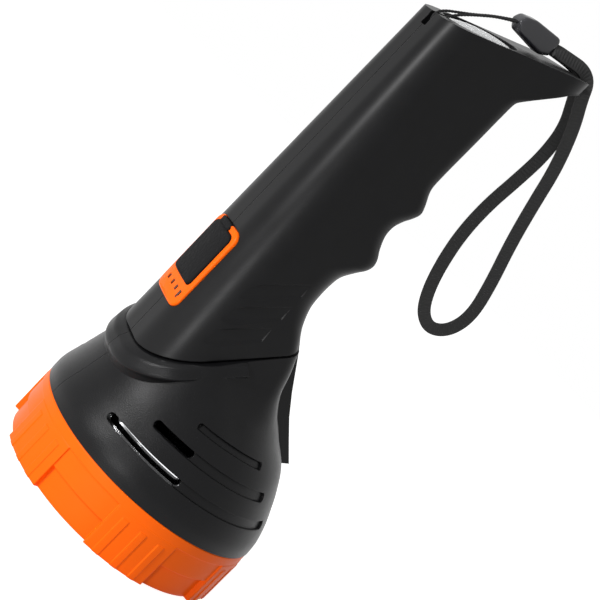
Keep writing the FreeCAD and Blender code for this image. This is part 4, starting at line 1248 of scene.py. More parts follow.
@dataclass
class HeadHousing:
    """Bell, collar, keel, thread sleeve and bulkhead of the head, in two halves."""

    bell: tuple = (
        (24.8, 0.0, 54.8, 54.8, 0.3), (30.0, -0.25, 54.4, 54.4, 0.3), (37.0, -0.45, 52.4, 52.4, 0.3),
        (43.0, -1.0, 50.2, 50.2, 0.3), (50.0, -2.0, 47.5, 47.3, 0.4), (58.4, -3.8, 43.5, 42.3, 0.8),
        (66.0, -8.0, 38.4, 36.3, 1.8), (74.0, -12.2, 34.0, 30.8, 3.2), (82.7, -16.2, 31.2, 27.0, 4.6),
        (92.0, -19.0, 30.0, 25.0, 5.6), (112.0, -24.0, 26.2, 23.6, 3.6),
    )
    foot: float = 24.8
    top: float = 112.0
    wall: float = 2.8
    mouth: tuple = (48.0, 8.0, 33.0)
    socket: tuple = (2.6, 51.0, 118.0)
    socket_depth: float = 10.0
    sleeve: tuple = (50.4, 2.4, 8.0, 30.0)
    thread_pitch: float = 4.0
    thread_depth: float = 0.7
    thread_end: float = 24.0
    collar_x: float = -51.5
    collar_z: float = 52.8
    collar_angle: float = 39.0
    collar_length: float = 84.0
    collar_half: float = 29.3
    collar_corner: float = 26.0
    collar_end: float = 40.0
    collar_band: tuple = ((-5.5, 3.4), (-1.4, 1.7), (-0.3, 1.0), (0.0, 0.5), (0.35, 0.15), (0.9, 0.0))
    collar_neck: tuple = (-50.9, 58.8, 38.5, 0.0, 78.0, 27.7, 23.3)
    collar_joint: tuple = (0.0, 74.0, 26.0, 20.6)
    collar_tongue: tuple = (1.8, 72.0, 25.0, 19.6)
    collar_rise: float = 3.0
    neck_corner: tuple = ((58.0, 60.0), (74.0, 20.0), (82.7, 10.0), (92.0, 8.0), (112.0, 6.0))
    keel_half: float = 7.5
    keel_line: tuple = ((47.4, 57.0), (38.7, 65.2), (30.0, 73.6), (22.0, 82.7), (10.8, 96.9), (3.9, 104.9))
    slots: tuple = (
        (29.0, 132.0, 71.4, 37.7, 41.3), (45.0, 120.0, 68.0, 48.2, 51.8), (60.0, 108.5, 62.0, 58.2, 60.8))
    slot_radius: float = 50.0
    slot_reach: tuple = (26.0, 64.0)
    slot_step: float = 1.2
    groove: float = 1.2
    groove_heights: tuple = (30.0, 80.0)
    deck: tuple = (57.0, 59.4)
    sink_hole: float = 8.3
    lead_hole: tuple = (-11.2, 6.5, 1.1)

    def bell_solid(self, inset: float, low: float, high: float, step: float = 1.0) -> Solid:
        """Body of the bell between two heights.

        Args:
            inset: Distance by which it is drawn in.
            low: Lowest height.
            high: Highest height.
            step: Largest step between its outlines.

        Returns:
            The body.
        """
        rows = []
        for z in np.linspace(low, high, max(2, round((high - low) / step))):
            centre, half_x, half_y, flat = (through(self.bell, k, float(z)) for k in (1, 2, 3, 4))
            corner = half_y - flat
            high, small = self.neck_edge(float(z), centre + half_x, half_y, corner)
            outline = rounded_outline(centre - half_x + inset, high - inset, half_y - inset,
                                      corner - inset, small - inset, 36)
            rows.append(raised(outline, 0.0, float(z), 0.0))
        return Solid.from_rows(np.array(rows))

    def neck_edge(self, z: float, high: float, half: float, corner: float) -> tuple[float, float]:
        """Grip side of the bell, whose corners grow squarer towards the neck.

        Args:
            z: Height.
            high: Place of a grip side with round corners.
            half: Half width.
            corner: Radius of those corners.

        Returns:
            Place of the side with the same silhouette and the radius of its corners.
        """
        heights, radii = zip(*self.neck_corner)
        small = min(corner, float(np.interp(z, heights, radii)))
        return GRIP.underside(GRIP.reach(high, half, corner), half, small), small

    def collar(self) -> Solid:
        """Rim that stands proud of the bell, bulges and closes to the grip at the joint.

        Each key outline has its place X and Z, its angle, where it starts and ends along that
        angle, its half width and its corner radius.

        Returns:
            The rim, cut off square to the joint.
        """
        t, s = math.radians(self.collar_angle), math.radians(SEAM.angle)
        keys = []
        for height, shrink in self.collar_band:
            lean = 0.3 + 0.35 * max(height, 0.0)
            keys.append((self.collar_x - height * math.sin(t), self.collar_z + height * math.cos(t),
                         self.collar_angle, lean, self.collar_length, self.collar_half - shrink,
                         self.collar_corner - shrink))
        keys.append(self.collar_neck)
        keys.append((SEAM.x, SEAM.z, SEAM.angle, *self.collar_joint))
        keys.append((SEAM.x - self.collar_rise * math.sin(s), SEAM.z + self.collar_rise * math.cos(s),
                     SEAM.angle, *self.collar_tongue))
        marks = np.arange(len(keys))
        places = np.unique(np.concatenate([marks, np.arange(len(self.collar_band) - 1, marks[-1], 0.25)]))
        rows = []
        for place in places:
            x, z, angle, low, high, half, corner = (np.interp(place, marks, [k[i] for k in keys])
                                                    for i in range(7))
            rows.append(raised(rounded_outline(low, high, half, corner, corner, 30), x, z, angle))
        end_x, end_z = SEAM.x + self.collar_end * math.cos(s), SEAM.z + self.collar_end * math.sin(s)
        return Solid.from_rows(np.array(rows)).cut(Solid.above(end_x, end_z, SEAM.angle - 90.0))

    def keel(self) -> Solid:
        """Keel that runs from the bell into the underside of the grip.

        Returns:
            The keel, with its root inside the bell.
        """
        front, tail = self.keel_line[0], self.keel_line[-1]
        root = ((tail[0] - 14, tail[1]), (front[0] - 14, front[1] - 7))
        return Solid.side_prism(self.keel_line + root, -self.keel_half, self.keel_half)

    def slot_cutter(self, start: float, end: float, low: float, high: float) -> Solid:
        """Curved cutter with round ends on the left side.

        Args:
            start: First angle in degrees from -X towards the left side.
            end: Last angle.
            low: Lowest height.
            high: Highest height.

        Returns:
            The cutter.
        """
        half, middle = (high - low) / 2, (high + low) / 2
        cap = math.degrees(half / self.slot_radius)
        quarter = np.linspace(0.04, 1, 9) * math.pi / 2
        share, bow = np.sin(quarter), 1 - np.cos(quarter)
        level = np.arange(start + cap + self.slot_step, end - cap - self.slot_step / 2, self.slot_step)
        turn = np.radians(180 + np.concatenate([start + cap * bow, level, (end - cap * bow)[::-1]]))
        rise = half * np.concatenate([share, np.ones(len(level)), share[::-1]])
        near, far = self.slot_reach
        rows = []
        for r, sign in ((near, -1), (far, -1), (far, 1), (near, 1)):
            rows.append(np.stack([r * np.cos(turn), r * np.sin(turn), middle + sign * rise], 1))
        return Solid.from_rows(np.array(rows).transpose(1, 0, 2))

    def threaded_sleeve(self) -> Solid:
        """Ring below the bell with the coarse thread that the bezel turns on.

        Returns:
            The ring.
        """
        radius, wall, low, high = self.sleeve
        heights = np.arange(low, high + 0.01, 0.4)
        fade = np.clip((self.thread_end - heights) / 1.5, 0.0, 1.0) * np.clip((heights - low) / 1.2, 0.0, 1.0)
        rows = []
        for angle in np.linspace(0, 2 * math.pi, 181)[:-1]:
            phase = (heights / self.thread_pitch - angle / (2 * math.pi)) % 1.0
            ridge = np.clip(2.2 - 8.0 * np.abs(phase - 0.5), 0.0, 1.0)
            r = np.append(radius - self.thread_depth * (1 - ridge * fade), [radius - wall, radius - wall])
            z = np.append(heights, [high, low])
            rows.append(np.stack([r * math.cos(angle), r * math.sin(angle), z], 1))
        return Solid.from_loop(np.array(rows))

    def bulkhead(self) -> Solid:
        """Deck that carries the light source.

        Returns:
            The deck with the openings for the heat sink and the lead.
        """
        low, high = self.deck
        plate = self.bell_solid(self.wall / 2, low, high, 1.2)
        x, y, radius = self.lead_hole
        return plate.cut(Solid.rod(self.sink_hole, (0, 0, low - 3), (0, 0, high + 3)),
                         Solid.rod(radius, (x, y, low - 3), (x, y, high + 3), 24))

    def build(self) -> None:
        """Build both halves and set them on the torch body."""
        outer = self.bell_solid(0.0, self.foot, self.top).add(self.collar(), self.keel())
        outer.cut(SEAM.above())
        envelope = outer.copy()
        hollow = self.bell_solid(self.wall, self.foot + 0.2 + self.wall, self.top + 1.0)
        grooves = []
        for start, end, open_end, low, high in self.slots:
            floor = self.bell_solid(self.groove, *self.groove_heights, 1.5)
            grooves.append(self.slot_cutter(start, open_end, low, high))
            grooves.append(self.slot_cutter(start, end, low, high).cut(floor))
        radius, low, high = self.mouth
        shell = outer.cut(hollow, Solid.rod(radius, (0, 0, low), (0, 0, high), 180))
        inset, low, high = self.socket
        socket = GRIP.solid(inset, np.linspace(low, high, 30), False)
        shell.cut(socket.copy().keep(SEAM.above(-self.socket_depth)))
        shell.add(self.threaded_sleeve(), self.bulkhead())
        shell.add(*SCREWS.bosses(SCREWS.head, envelope.cut(socket)))
        envelope.drop()
        for side in Half:
            half = shell.half(side)
            half.cut(*(groove.copy().on_side(side) for groove in grooves))
            SCREWS.drill(half, SCREWS.head)
            name = side.name.lower()
            half.piece("head_half_" + name, HEAD_BLACK, Body.TORCH, ["head_shell_" + name])
        for groove in grooves:
            groove.drop()
        shell.drop()


@dataclass
class GripHousing:
    """Grip with its hook, switch seat, panels, lanyard notch and tail seat, in two halves."""

    wall: float = 2.6
    panels: tuple = ((-38.0, 103.9, -18.6, 118.6), (-38.0, 92.6, -18.6, 107.3), (-38.0, 81.8, -18.6, 96.4))
    panel_height: float = 6.0
    panel_recess: float = 0.7
    seat: tuple = (82.3, 120.0, 11.4, 4.0)
    seat_x: float = -47.2
    seat_tongue: tuple = ((-58.0, -3.4, 112.7), (-35.0, 7.0, 120.1))
    skirt: float = 1.5
    fit: float = 0.12
    notch_half: float = 1.9
    notch_wall: float = 2.0
    notch_depth: float = 7.0
    notch: tuple = ((-52.0, 221.6), (-46.2, 221.6), (-42.6, 225.4), (-42.2, 232.5), (-52.0, 232.5))
    post: tuple = (-46.2, 226.4, 1.0)
    tail_wall: float = 3.4
    lamp_seat: tuple = (15.5, 2.8)
    lamp_bore: tuple = (13.7, 8.0)
    inlet: tuple = (-25.0, 133.0, 4.4)

    def seat_block(self, x0: float, x1: float, grow: float) -> Solid:
        """Rounded block over the switch frame's outline.

        Args:
            x0: Lowest X.
            x1: Highest X.
            grow: Distance by which it stands out past the outline.

        Returns:
            The block.
        """
        low, high, half, corner = self.seat
        outline = rounded_outline(low - grow, high + grow, half + grow, corner + grow, corner + grow, 10)
        rows = [np.stack([np.full(len(outline), x), outline[:, 1], outline[:, 0]], 1) for x in (x0, x1)]
        return Solid.from_rows(np.array(rows))

    def panel_cutter(self, x0: float, z0: float, x1: float, z1: float) -> Solid:
        """Sloping recess on the left side, with flared walls.

        Args:
            x0: Lowest X of its floor.
            z0: Height of its lower edge there.
            x1: Highest X of its floor.
            z1: Height of its lower edge there.

        Returns:
            The cutter.
        """
        h = self.panel_height
        floor = GRIP.taper(GRIP.half, (z0 + z1 + h) / 2) - self.panel_recess
        rows = []
        for grow in (0.0, self.panel_recess + 3):
            y = -floor - grow
            rows.append([(x0 - grow, y, z0 - grow), (x1 + grow, y, z1 - grow),
                         (x1 + grow, y, z1 + h + grow), (x0 - grow, y, z0 + h + grow)])
        return Solid.from_rows(np.array(rows))

    def tail_disc(self, radius: float, top: float, bottom: float) -> Solid:
        """Cylinder on the tail lamp's axis."""
        return Solid.rod(radius, GRIP.tail_point(bottom), GRIP.tail_point(top), 96)

    def spigot(self) -> Solid:
        """Lip that enters the head, seen in the groove of the joint.

        Returns:
            The hollow lip.
        """
        heights = np.linspace(52.0, 119.0, 34)
        lip = GRIP.solid(2.9, heights, False).keep(SEAM.above(-4.0)).cut(SEAM.above(6.0))
        return lip.cut(GRIP.solid(4.7, np.linspace(51.0, 120.0, 34), False))

    def build(self) -> None:
        """Build both halves and set them on the torch body."""
        heights = np.concatenate([np.arange(56.0, 217.0, 1.0), np.arange(217.0, 251.2, 0.3), [251.29]])
        outer = GRIP.solid(0.0, heights, True).keep(SEAM.above(SEAM.groove)).keep(GRIP.below_tail())
        hollow = GRIP.solid(self.wall, np.linspace(53.0, 249.0, 130), False)
        hollow.cut(Solid.above(*GRIP.tail_point(self.tail_wall)[[0, 2]], GRIP.tail_angle))
        x, z, radius = self.post
        beside = self.notch_half + self.notch_wall
        hollow.cut(Solid.block((GRIP.top, -beside, 217), (x + self.notch_depth, beside, 260)))
        shell = outer.copy().cut(hollow).add(self.spigot())
        shell.add(*SCREWS.bosses(SCREWS.grip, outer))
        outer.drop()
        shell.cut(self.seat_block(self.seat_x - 10, self.seat_x, self.fit),
                  self.seat_block(self.seat_x - 12, self.seat_x + 12, self.fit - self.skirt),
                  self.tail_disc(self.lamp_seat[0], -5, self.lamp_seat[1]),
                  self.tail_disc(self.lamp_bore[0], -6, self.lamp_bore[1]),
                  Solid.side_prism(self.notch, -self.notch_half, self.notch_half),
                  Solid.block(*self.seat_tongue))
        inlet_x, inlet_z, inlet_radius = self.inlet
        for side in Half:
            half = shell.half(side)
            half.cut(*(self.panel_cutter(*panel).on_side(side) for panel in self.panels))
            SCREWS.drill(half, SCREWS.grip)
            if side is Half.RIGHT:
                half.cut(Solid.rod(inlet_radius, (inlet_x, 12, inlet_z), (inlet_x, 60, inlet_z)))
            else:
                half.add(Solid.rod(radius, (x, -self.notch_half - 0.3, z), (x, self.notch_half, z), 32))
            name = side.name.lower()
            half.piece("grip_half_" + name, GRIP_BLACK, Body.TORCH, ["handle_shell_" + name])
        shell.drop()


# Bezel and optics


def rising(value: np.ndarray, edge: float, width: float) -> np.ndarray:
    """Smooth step from 0 to 1 at an edge."""
    return 0.5 + 0.5 * np.tanh((value - edge) / width * 1.6)


def between(value: np.ndarray, low: float, high: float, width: float) -> np.ndarray:
    """Smooth step up to 1 at one edge and down again at another."""
    return rising(value, low, width) * (1 - rising(value, high, width))


@dataclass
class Bezel:
    """Screw-on ring with ribbed grip pads and stepped panels between them."""

    radius: float = 54.8
    length: float = 24.6
    lip_radius: float = 46.5
    lip: float = 3.0
    bore: float = 50.7
    pads: int = 6
    pad_start: float = -1.5
    pad_span: float = 30.0
    pad_length: float = 20.3
    pad_proud: float = 0.2
    ribs: tuple = (4.5, 13.5, 22.5)
    rib_span: float = 3.2
    rib_proud: float = 0.35
    rib_length: float = 17.6
    panel_depth: float = 0.6
    step: float = 10.8
    step_depth: float = 1.5
    soft: float = 0.13
    rim: float = 0.35
    sector_start: float = -5.0
    coarse: tuple = (1.5, 1.6)

    def soft_angle(self) -> float:
        """Half width of an upright edge in degrees."""
        return math.degrees(self.soft / self.radius)

    def edge_samples(self, edges: Sequence[float], low: float, high: float, width: float,
                     coarse: float) -> np.ndarray:
        """Places along one direction, close together at edges and coarse between them.

        Args:
            edges: Places of the edges.
            low: First place.
            high: Last place.
            width: Half width of an edge.
            coarse: Largest step.

        Returns:
            The sorted places.
        """
        places = {round(v, 4) for v in np.arange(low, high, coarse)} | {low, high}
        for edge in edges:
            places |= {round(edge + width * k, 4) for k in (-1.6, -0.9, -0.45, 0.0, 0.45, 0.9, 1.6)}
        kept = [low]
        for place in sorted(p for p in places if low < p < high):
            if place - kept[-1] > width * 0.3:
                kept.append(place)
        if high - kept[-1] < width * 0.3:
            kept.pop()
        return np.array(kept + [high])

    def outside(self, angle: np.ndarray, z: np.ndarray) -> np.ndarray:
        """Radius of the outside.

        Args:
            angle: Angles in degrees from the start of a pad.
            z: Heights.

        Returns:
            The radius at each pair.
        """
        wide = self.soft_angle()
        band = rising(z, self.pad_length, self.soft)
        pad = between(angle, 0.0, self.pad_span, wide)
        foot = 1 - rising(z, self.step, self.soft)
        r = self.radius - self.panel_depth - self.step_depth * foot
        r = r * (1 - pad) + (self.radius + self.pad_proud) * pad
        for offset in self.ribs:
            rib = between(angle, offset, offset + self.rib_span, wide)
            r = r + self.rib_proud * rib * (1 - rising(z, self.rib_length, self.soft))
        r = r * (1 - band) + self.radius * band
        to_rim = np.minimum(z, self.length - z)
        return r - self.rim * np.clip(1 - to_rim / self.rim, 0.0, 1.0) ** 2

    def build(self) -> None:
        """Build one sector and repeat it round the axis."""
        edges = [0.0, self.pad_span] + [o + k for o in self.ribs for k in (0.0, self.rib_span)]
        angles = self.edge_samples(edges, self.sector_start, self.sector_start + 360.0 / self.pads,
                                   self.soft_angle(), self.coarse[0])
        heights = self.edge_samples([self.step, self.rib_length, self.pad_length], 0.0, self.length,
                                    self.soft, self.coarse[1])
        rim = [z for k in (0.08, 0.2, self.rim) for z in (k, self.length - k)]
        heights = np.unique(np.concatenate([heights, rim]))
        inner = np.array([(self.bore, self.length), (self.bore, self.lip + 0.3), (self.bore - 0.3, self.lip),
                          (self.lip_radius + 0.2, self.lip), (self.lip_radius, self.lip - 0.2),
                          (self.lip_radius, 0.25), (self.lip_radius + 0.25, 0.0)])
        grid_a, grid_z = np.meshgrid(angles, heights, indexing="ij")
        outer = self.outside(grid_a, grid_z)
        rows = []
        for k, angle in enumerate(angles):
            r, z = np.concatenate([np.stack([outer[k], heights], 1), inner]).T
            t = math.radians(180 + self.pad_start + angle)
            rows.append(np.stack([r * math.cos(t), r * math.sin(t), z], 1))
        grid = np.array(rows) * MM
        mesh = bpy.data.meshes.new("bezel_sector")
        mesh.from_pydata(grid.reshape(-1, 3).tolist(), [], skin(*grid.shape[:2], False))
        thing = new_object("bezel_sector", mesh)
        tree, pads = turned_copies(BEZEL_ORANGE.material())
        settle(thing, tree, {pads: self.pads})
        face_outwards(thing.data)
        dress(thing, "ribbed_bezel", BEZEL_ORANGE, Body.BEZEL, ["bezel_ring"], 50.0)


@dataclass
class Optics:
    """Lens, seal, reflector and light source of the head, and the lamp in the tail."""

    tube: tuple = (46.2, 46.9, 10.8, 42.4)
    tube_slant: float = 1.0
    sharp: float = 25.0

    def bright_bowl(self) -> None:
        """Reflector with the bright tube behind it that shows through the lowest slot."""
        bowl = smooth_copy("reflector", "bright_bowl", BRIGHT_COAT, Body.TORCH, self.sharp)
        inner, outer, low, high = self.tube
        profile = [(inner, low + self.tube_slant), (outer, low), (outer, high), (inner, high)]
        tube = Solid.ring(np.array(profile))
        work = bmesh.new()
        work.from_mesh(bowl.data)
        work.from_mesh(tube.in_metres().data)
        for face in work.faces:
            face.smooth = True
        work.to_mesh(bowl.data)
        work.free()
        bowl.data.set_sharp_from_angle(angle=math.radians(self.sharp))
        tube.drop()

    def build(self) -> None:
        """Give each piece its finish."""
        smooth_copy("front_lens", "clear_lens", LENS_CLEAR, Body.CARRIAGE)
        smooth_copy("lens_seal", "rubber_seal", SEAL_RUBBER, Body.CARRIAGE)
        self.bright_bowl()
        smooth_copy("heat_sink", "turned_sink", SINK_ALLOY, Body.TORCH)
        smooth_copy("led_board", "round_board", SINK_ALLOY, Body.TORCH)
        smooth_copy("led_emitter", "main_emitter", EMITTER_YELLOW, Body.TORCH)
        smooth_copy("heat_sink_screws", "sink_screws", SCREW_ZINC, Body.TORCH)
        smooth_copy("tail_lamp_lens", "tail_window", TAIL_PALE, Body.TORCH)
        smooth_copy("tail_reflector", "tail_cup", BRIGHT_COAT, Body.TORCH)
        smooth_copy("tail_led", "tail_emitter", EMITTER_YELLOW, Body.TORCH)
        smooth_copy("tail_led_board", "tail_board", BOARD_GREEN, Body.TORCH)


@dataclass
class Controls:
    """Switch frame, push pad, light guide, switch and board."""

    low: float = 82.3
    high: float = 120.0
    half: float = 11.3
    corner: float = 3.9
    top: float = -50.15
    base: float = -46.2
    through_x: tuple = (-60.0, -40.0)
    crown: float = 140.0
    arm: float = 9.45
    pad: tuple = (92.3, 117.2, 9.2, 2.6)
    pad_top: float = -50.95
    pad_base: float = -46.4
    pad_gap: float = 0.2
    tongue: tuple = (-3.2, 6.8)
    tongue_root: float = 6.0
    windows: tuple = (5.6, 1.0, -3.6, -8.2)
    window_x: float = -48.9
    window_z: float = 88.2
    window: tuple = (0.8, 1.05)

    def cushion(self, low: float, high: float, half: float, corner: float, top: float, base: float,
                soft: float) -> Solid:
        """Block with a crowned, round-edged face towards the button side.

        Args:
            low: Lowest height.
            high: Highest height.
            half: Half width.
            corner: Corner radius of its outline.
            top: Place of its face.
            base: Place of its flat underside.
            soft: Radius of the edge round its face.

        Returns:
            The block.
        """
        outline = rounded_outline(low, high, half, corner, corner, 12)
        rows = [np.stack([np.full(len(outline), base), outline[:, 1], outline[:, 0]], 1)]
        for turn in np.radians(np.linspace(0, 84, 8)):
            draw = soft * (1 - math.cos(turn))
            outline = rounded_outline(low + draw, high - draw, half - draw, corner - draw, corner - draw, 12)
            x = top + soft * (1 - math.sin(turn)) + outline[:, 1] ** 2 / self.crown
            rows.append(np.stack([x, outline[:, 1], outline[:, 0]], 1))
        return Solid.from_rows(np.array(rows))

    def switch_frame(self) -> None:
        """Orange frame with two arms that hook round the pad's tongue."""
        body = self.cushion(self.low, self.high, self.half, self.corner, self.top, self.base, 0.9)
        low, high, _, corner = self.pad
        out, inside = self.through_x
        left, right = self.tongue
        body.cut(self.cushion(low - self.pad_gap, high + self.pad_gap, self.arm, corner, out, inside, 0.3),
                 Solid.block((out, left, high - 1.0), (inside, right, self.high + 2)))
        half_y, half_z = self.window
        for y in self.windows:
            body.cut(Solid.block((out, y - half_y, self.window_z - half_z),
                                 (self.window_x, y + half_y, self.window_z + half_z)))
        body.piece("orange_frame", FRAME_ORANGE, Body.TORCH, ["switch_frame"], 40.0)

    def push_pad(self) -> None:
        """Black pad with the tongue that runs out between the arms."""
        low, high, half, corner = self.pad
        left, right = self.tongue
        body = self.cushion(low, high, half, corner, self.pad_top, self.pad_base, 0.8)
        half_tongue = (right - left) / 2 - self.pad_gap
        tongue = self.cushion(high - self.tongue_root, self.high - 0.1, half_tongue, 0.8,
                              self.pad_top + 0.5, self.pad_base, 0.5)
        tongue.thing.data.transform(Matrix.Translation((0.0, (left + right) / 2, 0.0)))
        body.add(tongue)
        body.piece("push_pad", PAD_BLACK, Body.BUTTON, ["switch_button"], 40.0)

    def build(self) -> None:
        """Build the frame and the pad, and give the other pieces their finish."""
        self.switch_frame()
        self.push_pad()
        smooth_copy("switch_plunger", "plunger", SWITCH_GREY, Body.BUTTON)
        smooth_copy("charge_light_guide", "light_guide", GUIDE_CLEAR, Body.TORCH)
        smooth_copy("push_switch", "push_switch_body", SWITCH_GREY, Body.TORCH)
        carry("control_board", BOARD_GREEN)


@dataclass
class Power:
    """Cells, strips, cradle, charging inlet and leads."""

    def build(self) -> None:
        """Give each piece its finish."""
        for place in ("upper", "lower"):
            smooth_copy("battery_cell_" + place, "cell_" + place, CELL_BLUE, Body.TORCH)
        for place in ("front", "rear"):
            carry("cell_strip_" + place, STRIP_NICKEL)
        smooth_copy("battery_cradle", "cell_tray", TRAY_GREY, Body.TORCH)
        smooth_copy("charge_socket", "charge_inlet", TRAY_GREY, Body.TORCH)
        smooth_copy("lead_head", "front_lead", LEAD_RED, Body.TORCH, 60.0)
        smooth_copy("lead_tail", "rear_lead", LEAD_RED, Body.TORCH, 60.0)


# Strap and lanyard


def smooth_path(route: Sequence[Point], step: float) -> np.ndarray:
    """Points of the smooth line through a route, evenly spaced.

    Args:
        route: Control points in metres.
        step: Distance between points in metres.

    Returns:
        The points in metres.
    """
    curve = bpy.data.curves.new("route", "CURVE")
    curve.dimensions = "3D"
    curve.resolution_u = 24
    spline = curve.splines.new("NURBS")
    spline.points.add(len(route) - 1)
    for point, place in zip(spline.points, route):
        point.co = (*place, 1.0)
    spline.order_u = 3
    spline.use_endpoint_u = True
    thing = new_object("route", curve)
    graph = bpy.context.evaluated_depsgraph_get()
    mesh = bpy.data.meshes.new_from_object(thing.evaluated_get(graph))
    points = np.array([tuple(v.co) for v in mesh.vertices])
    bpy.data.meshes.remove(mesh)
    bpy.data.objects.remove(thing)
    bpy.data.curves.remove(curve)
    along = distances(points)
    marks = np.linspace(0.0, along[-1], max(8, round(along[-1] / step)))
    return np.stack([np.interp(marks, along, points[:, k]) for k in range(3)], 1)


def distances(points: np.ndarray) -> np.ndarray:
    """Distance run at each point of a line."""
    return np.concatenate([[0.0], np.cumsum(np.linalg.norm(np.diff(points, axis=0), axis=1))])


def directions(points: np.ndarray) -> np.ndarray:
    """Unit direction of a line at each of its points."""
    tangent = np.gradient(points, axis=0)
    return tangent / np.linalg.norm(tangent, axis=1)[:, None]


def eased(share: np.ndarray) -> np.ndarray:
    """Share from 0 to 1 that starts and ends gently."""
    share = np.clip(share, 0, 1)
    return share ** 2 * (3 - 2 * share)


def band_mesh(name: str, rows: np.ndarray, around: np.ndarray, along: np.ndarray) -> bpy.types.Object:
    """Closed band from rows of points, with a UV map in millimetres.

    Args:
        name: Name of the object.
        rows: Array of rows, columns and coordinates in metres.
        around: Place of each column round the section in millimetres.
        along: Place of each row along the band in millimetres.

    Returns:
        The mesh object.
    """
    count, width = rows.shape[:2]
    mesh = bpy.data.meshes.new(name)
    mesh.from_pydata(rows.reshape(-1, 3).tolist(), [], capped_skin(count, width))
    chart = mesh.uv_layers.new(name="band")
    corner = np.zeros(len(mesh.loops), np.int32)
    mesh.loops.foreach_get("vertex_index", corner)
    places = np.stack([around[corner % width], along[corner // width]], 1)
    chart.data.foreach_set("uv", places.astype(np.float32).ravel())
    face_outwards(mesh)
    return new_object(name, mesh)


@dataclass
class Lanyard:
    """Thin string loop, moulded ferrule and flat woven strap."""

    string_diameter: float = 1.3
    string_lay: float = 2.6
    string_route: tuple = (
        (-20.4, -1.0, 247.4), (-27.2, -0.9, 243.9), (-33.8, -0.7, 239.0), (-39.6, -0.4, 234.2),
        (-43.8, -0.1, 229.6), (-44.35, 0.0, 225.3), (-46.2, 0.0, 224.2), (-48.05, 0.0, 225.3),
        (-48.0, 0.0, 228.3), (-45.6, 0.1, 230.9), (-41.2, 0.4, 233.7), (-35.0, 0.7, 237.8),
        (-28.0, 0.8, 243.2), (-20.4, 0.8, 247.7),
    )
    strap_width: float = 5.5
    strap_thickness: float = 1.6
    rib_pitch: float = 1.5
    strap_route: tuple = (
        (-0.8, -2.9, 250.9), (8.0, -2.9, 252.9), (15.8, -2.9, 254.5), (21.8, -2.9, 252.6),
        (25.2, -3.0, 246.6), (32.6, -3.0, 237.0), (41.0, -2.4, 221.6), (47.3, -1.0, 205.0),
        (54.2, 0.0, 187.6), (62.2, 0.0, 169.6), (67.2, 0.0, 154.2), (64.2, 0.0, 143.4),
        (56.0, 0.0, 138.4), (47.2, 0.0, 141.4), (40.6, 0.0, 150.2), (35.6, 0.0, 162.6),
        (32.2, 0.0, 176.6), (31.8, 0.5, 191.8), (34.2, 1.5, 207.2), (36.0, 2.6, 221.8),
        (34.0, 3.0, 235.4), (27.0, 2.9, 245.2), (22.0, 2.9, 252.8), (14.0, 2.9, 254.2),
        (-0.8, 2.9, 250.9),
    )
    lying: Point = (-0.30, 0.0, 0.954)
    view: Point = (-0.5655, -0.8128, 0.1399)
    turn_before: float = 6.0
    turn_length: float = 10.0
    edge_radius: float = 0.3
    selvage: float = 0.75
    rib_depth: float = 0.2
    cord_step: int = 6

    def strap_section(self) -> np.ndarray:
        """Section of the strap.

        Returns:
            Points across in millimetres and up in shares of half the thickness, one row each.
        """
        straight = self.strap_width / 2 - self.edge_radius
        upper = np.stack([np.linspace(-1, 1, 13) * straight, np.ones(13)], 1)
        edge = arc((straight, 0.0), self.edge_radius, 60, -60, 3)[1:-1]
        edge[:, 1] /= self.edge_radius
        return np.concatenate([upper, edge, upper[::-1] * (1, -1), (edge * (-1, 1))[::-1]])

    def string(self) -> tuple[bpy.types.Object, np.ndarray]:
        """Two-ply twisted string along its route.

        Returns:
            The object and the points that it follows.
        """
        path = smooth_path([tuple(c * MM for c in p) for p in self.string_route], 0.2 * MM)
        tangent = directions(path)
        side = np.cross(tangent, (0.0, 1.0, 0.0))
        side /= np.linalg.norm(side, axis=1)[:, None]
        other = np.cross(tangent, side)
        along = distances(path) / MM
        turn = np.linspace(0, 2 * math.pi, 16, endpoint=False)
        twist = 2 * math.pi * along / self.string_lay
        lobe = np.abs(np.cos(turn[None] - twist[:, None]))
        r = self.string_diameter / 2 * MM * (0.6 + 0.25 * lobe)
        rows = path[:, None] + r[..., None] * (np.cos(turn)[None, :, None] * side[:, None]
                                              + np.sin(turn)[None, :, None] * other[:, None])
        return band_mesh("lanyard_loop", rows, turn * self.string_diameter / 2, along), path

    def strap(self) -> tuple[bpy.types.Object, np.ndarray]:
        """Flat woven band that lies on the tail, turns and shows its face on both legs.

        Returns:
            The object and the points that it follows.
        """
        path = smooth_path([tuple(c * MM for c in p) for p in self.strap_route], 0.15 * MM)
        tangent = directions(path)
        along = distances(path) / MM
        nearest_end = np.minimum(along, along[-1] - along)
        share = eased((nearest_end + self.turn_before) / self.turn_length)[:, None]
        face = np.array(self.lying) * (1 - share) + np.array(self.view) * share
        face -= (face * tangent).sum(1)[:, None] * tangent
        face /= np.linalg.norm(face, axis=1)[:, None]
        across = np.cross(tangent, face)
        section = self.strap_section()
        rib = 0.5 + 0.5 * np.cos(2 * math.pi * along / self.rib_pitch)
        inside = np.clip((self.strap_width / 2 - self.selvage - np.abs(section[:, 0])) / 0.25, 0.0, 1.0)
        flat = 1 - self.rib_depth
        relief = inside[None] * rib[:, None] + (1 - inside[None]) * 0.6
        height = self.strap_thickness / 2 * (flat + self.rib_depth * relief)
        rows = (path[:, None] + section[None, :, 0, None] * across[:, None] * MM
                + (section[None, :, 1] * height)[..., None] * face[:, None] * MM)
        return band_mesh("woven_strap", rows, section[:, 0], along), path

    def build(self) -> None:
        ferrule = smooth_copy("strap_ferrule", "strap_sleeve", FERRULE_BLACK, Body.TORCH, 40.0, 2.0)
        loop, line = self.string()
        dress(loop, "lanyard_loop", STRING_YARN, Body.TORCH, ["lanyard_string"], 180.0)
        band, route = self.strap()
        dress(band, "woven_strap", STRAP_WEAVE, Body.TORCH, ["wrist_strap"], 50.0)
        line = route[::self.cord_step].tolist() + [route[-1].tolist()]


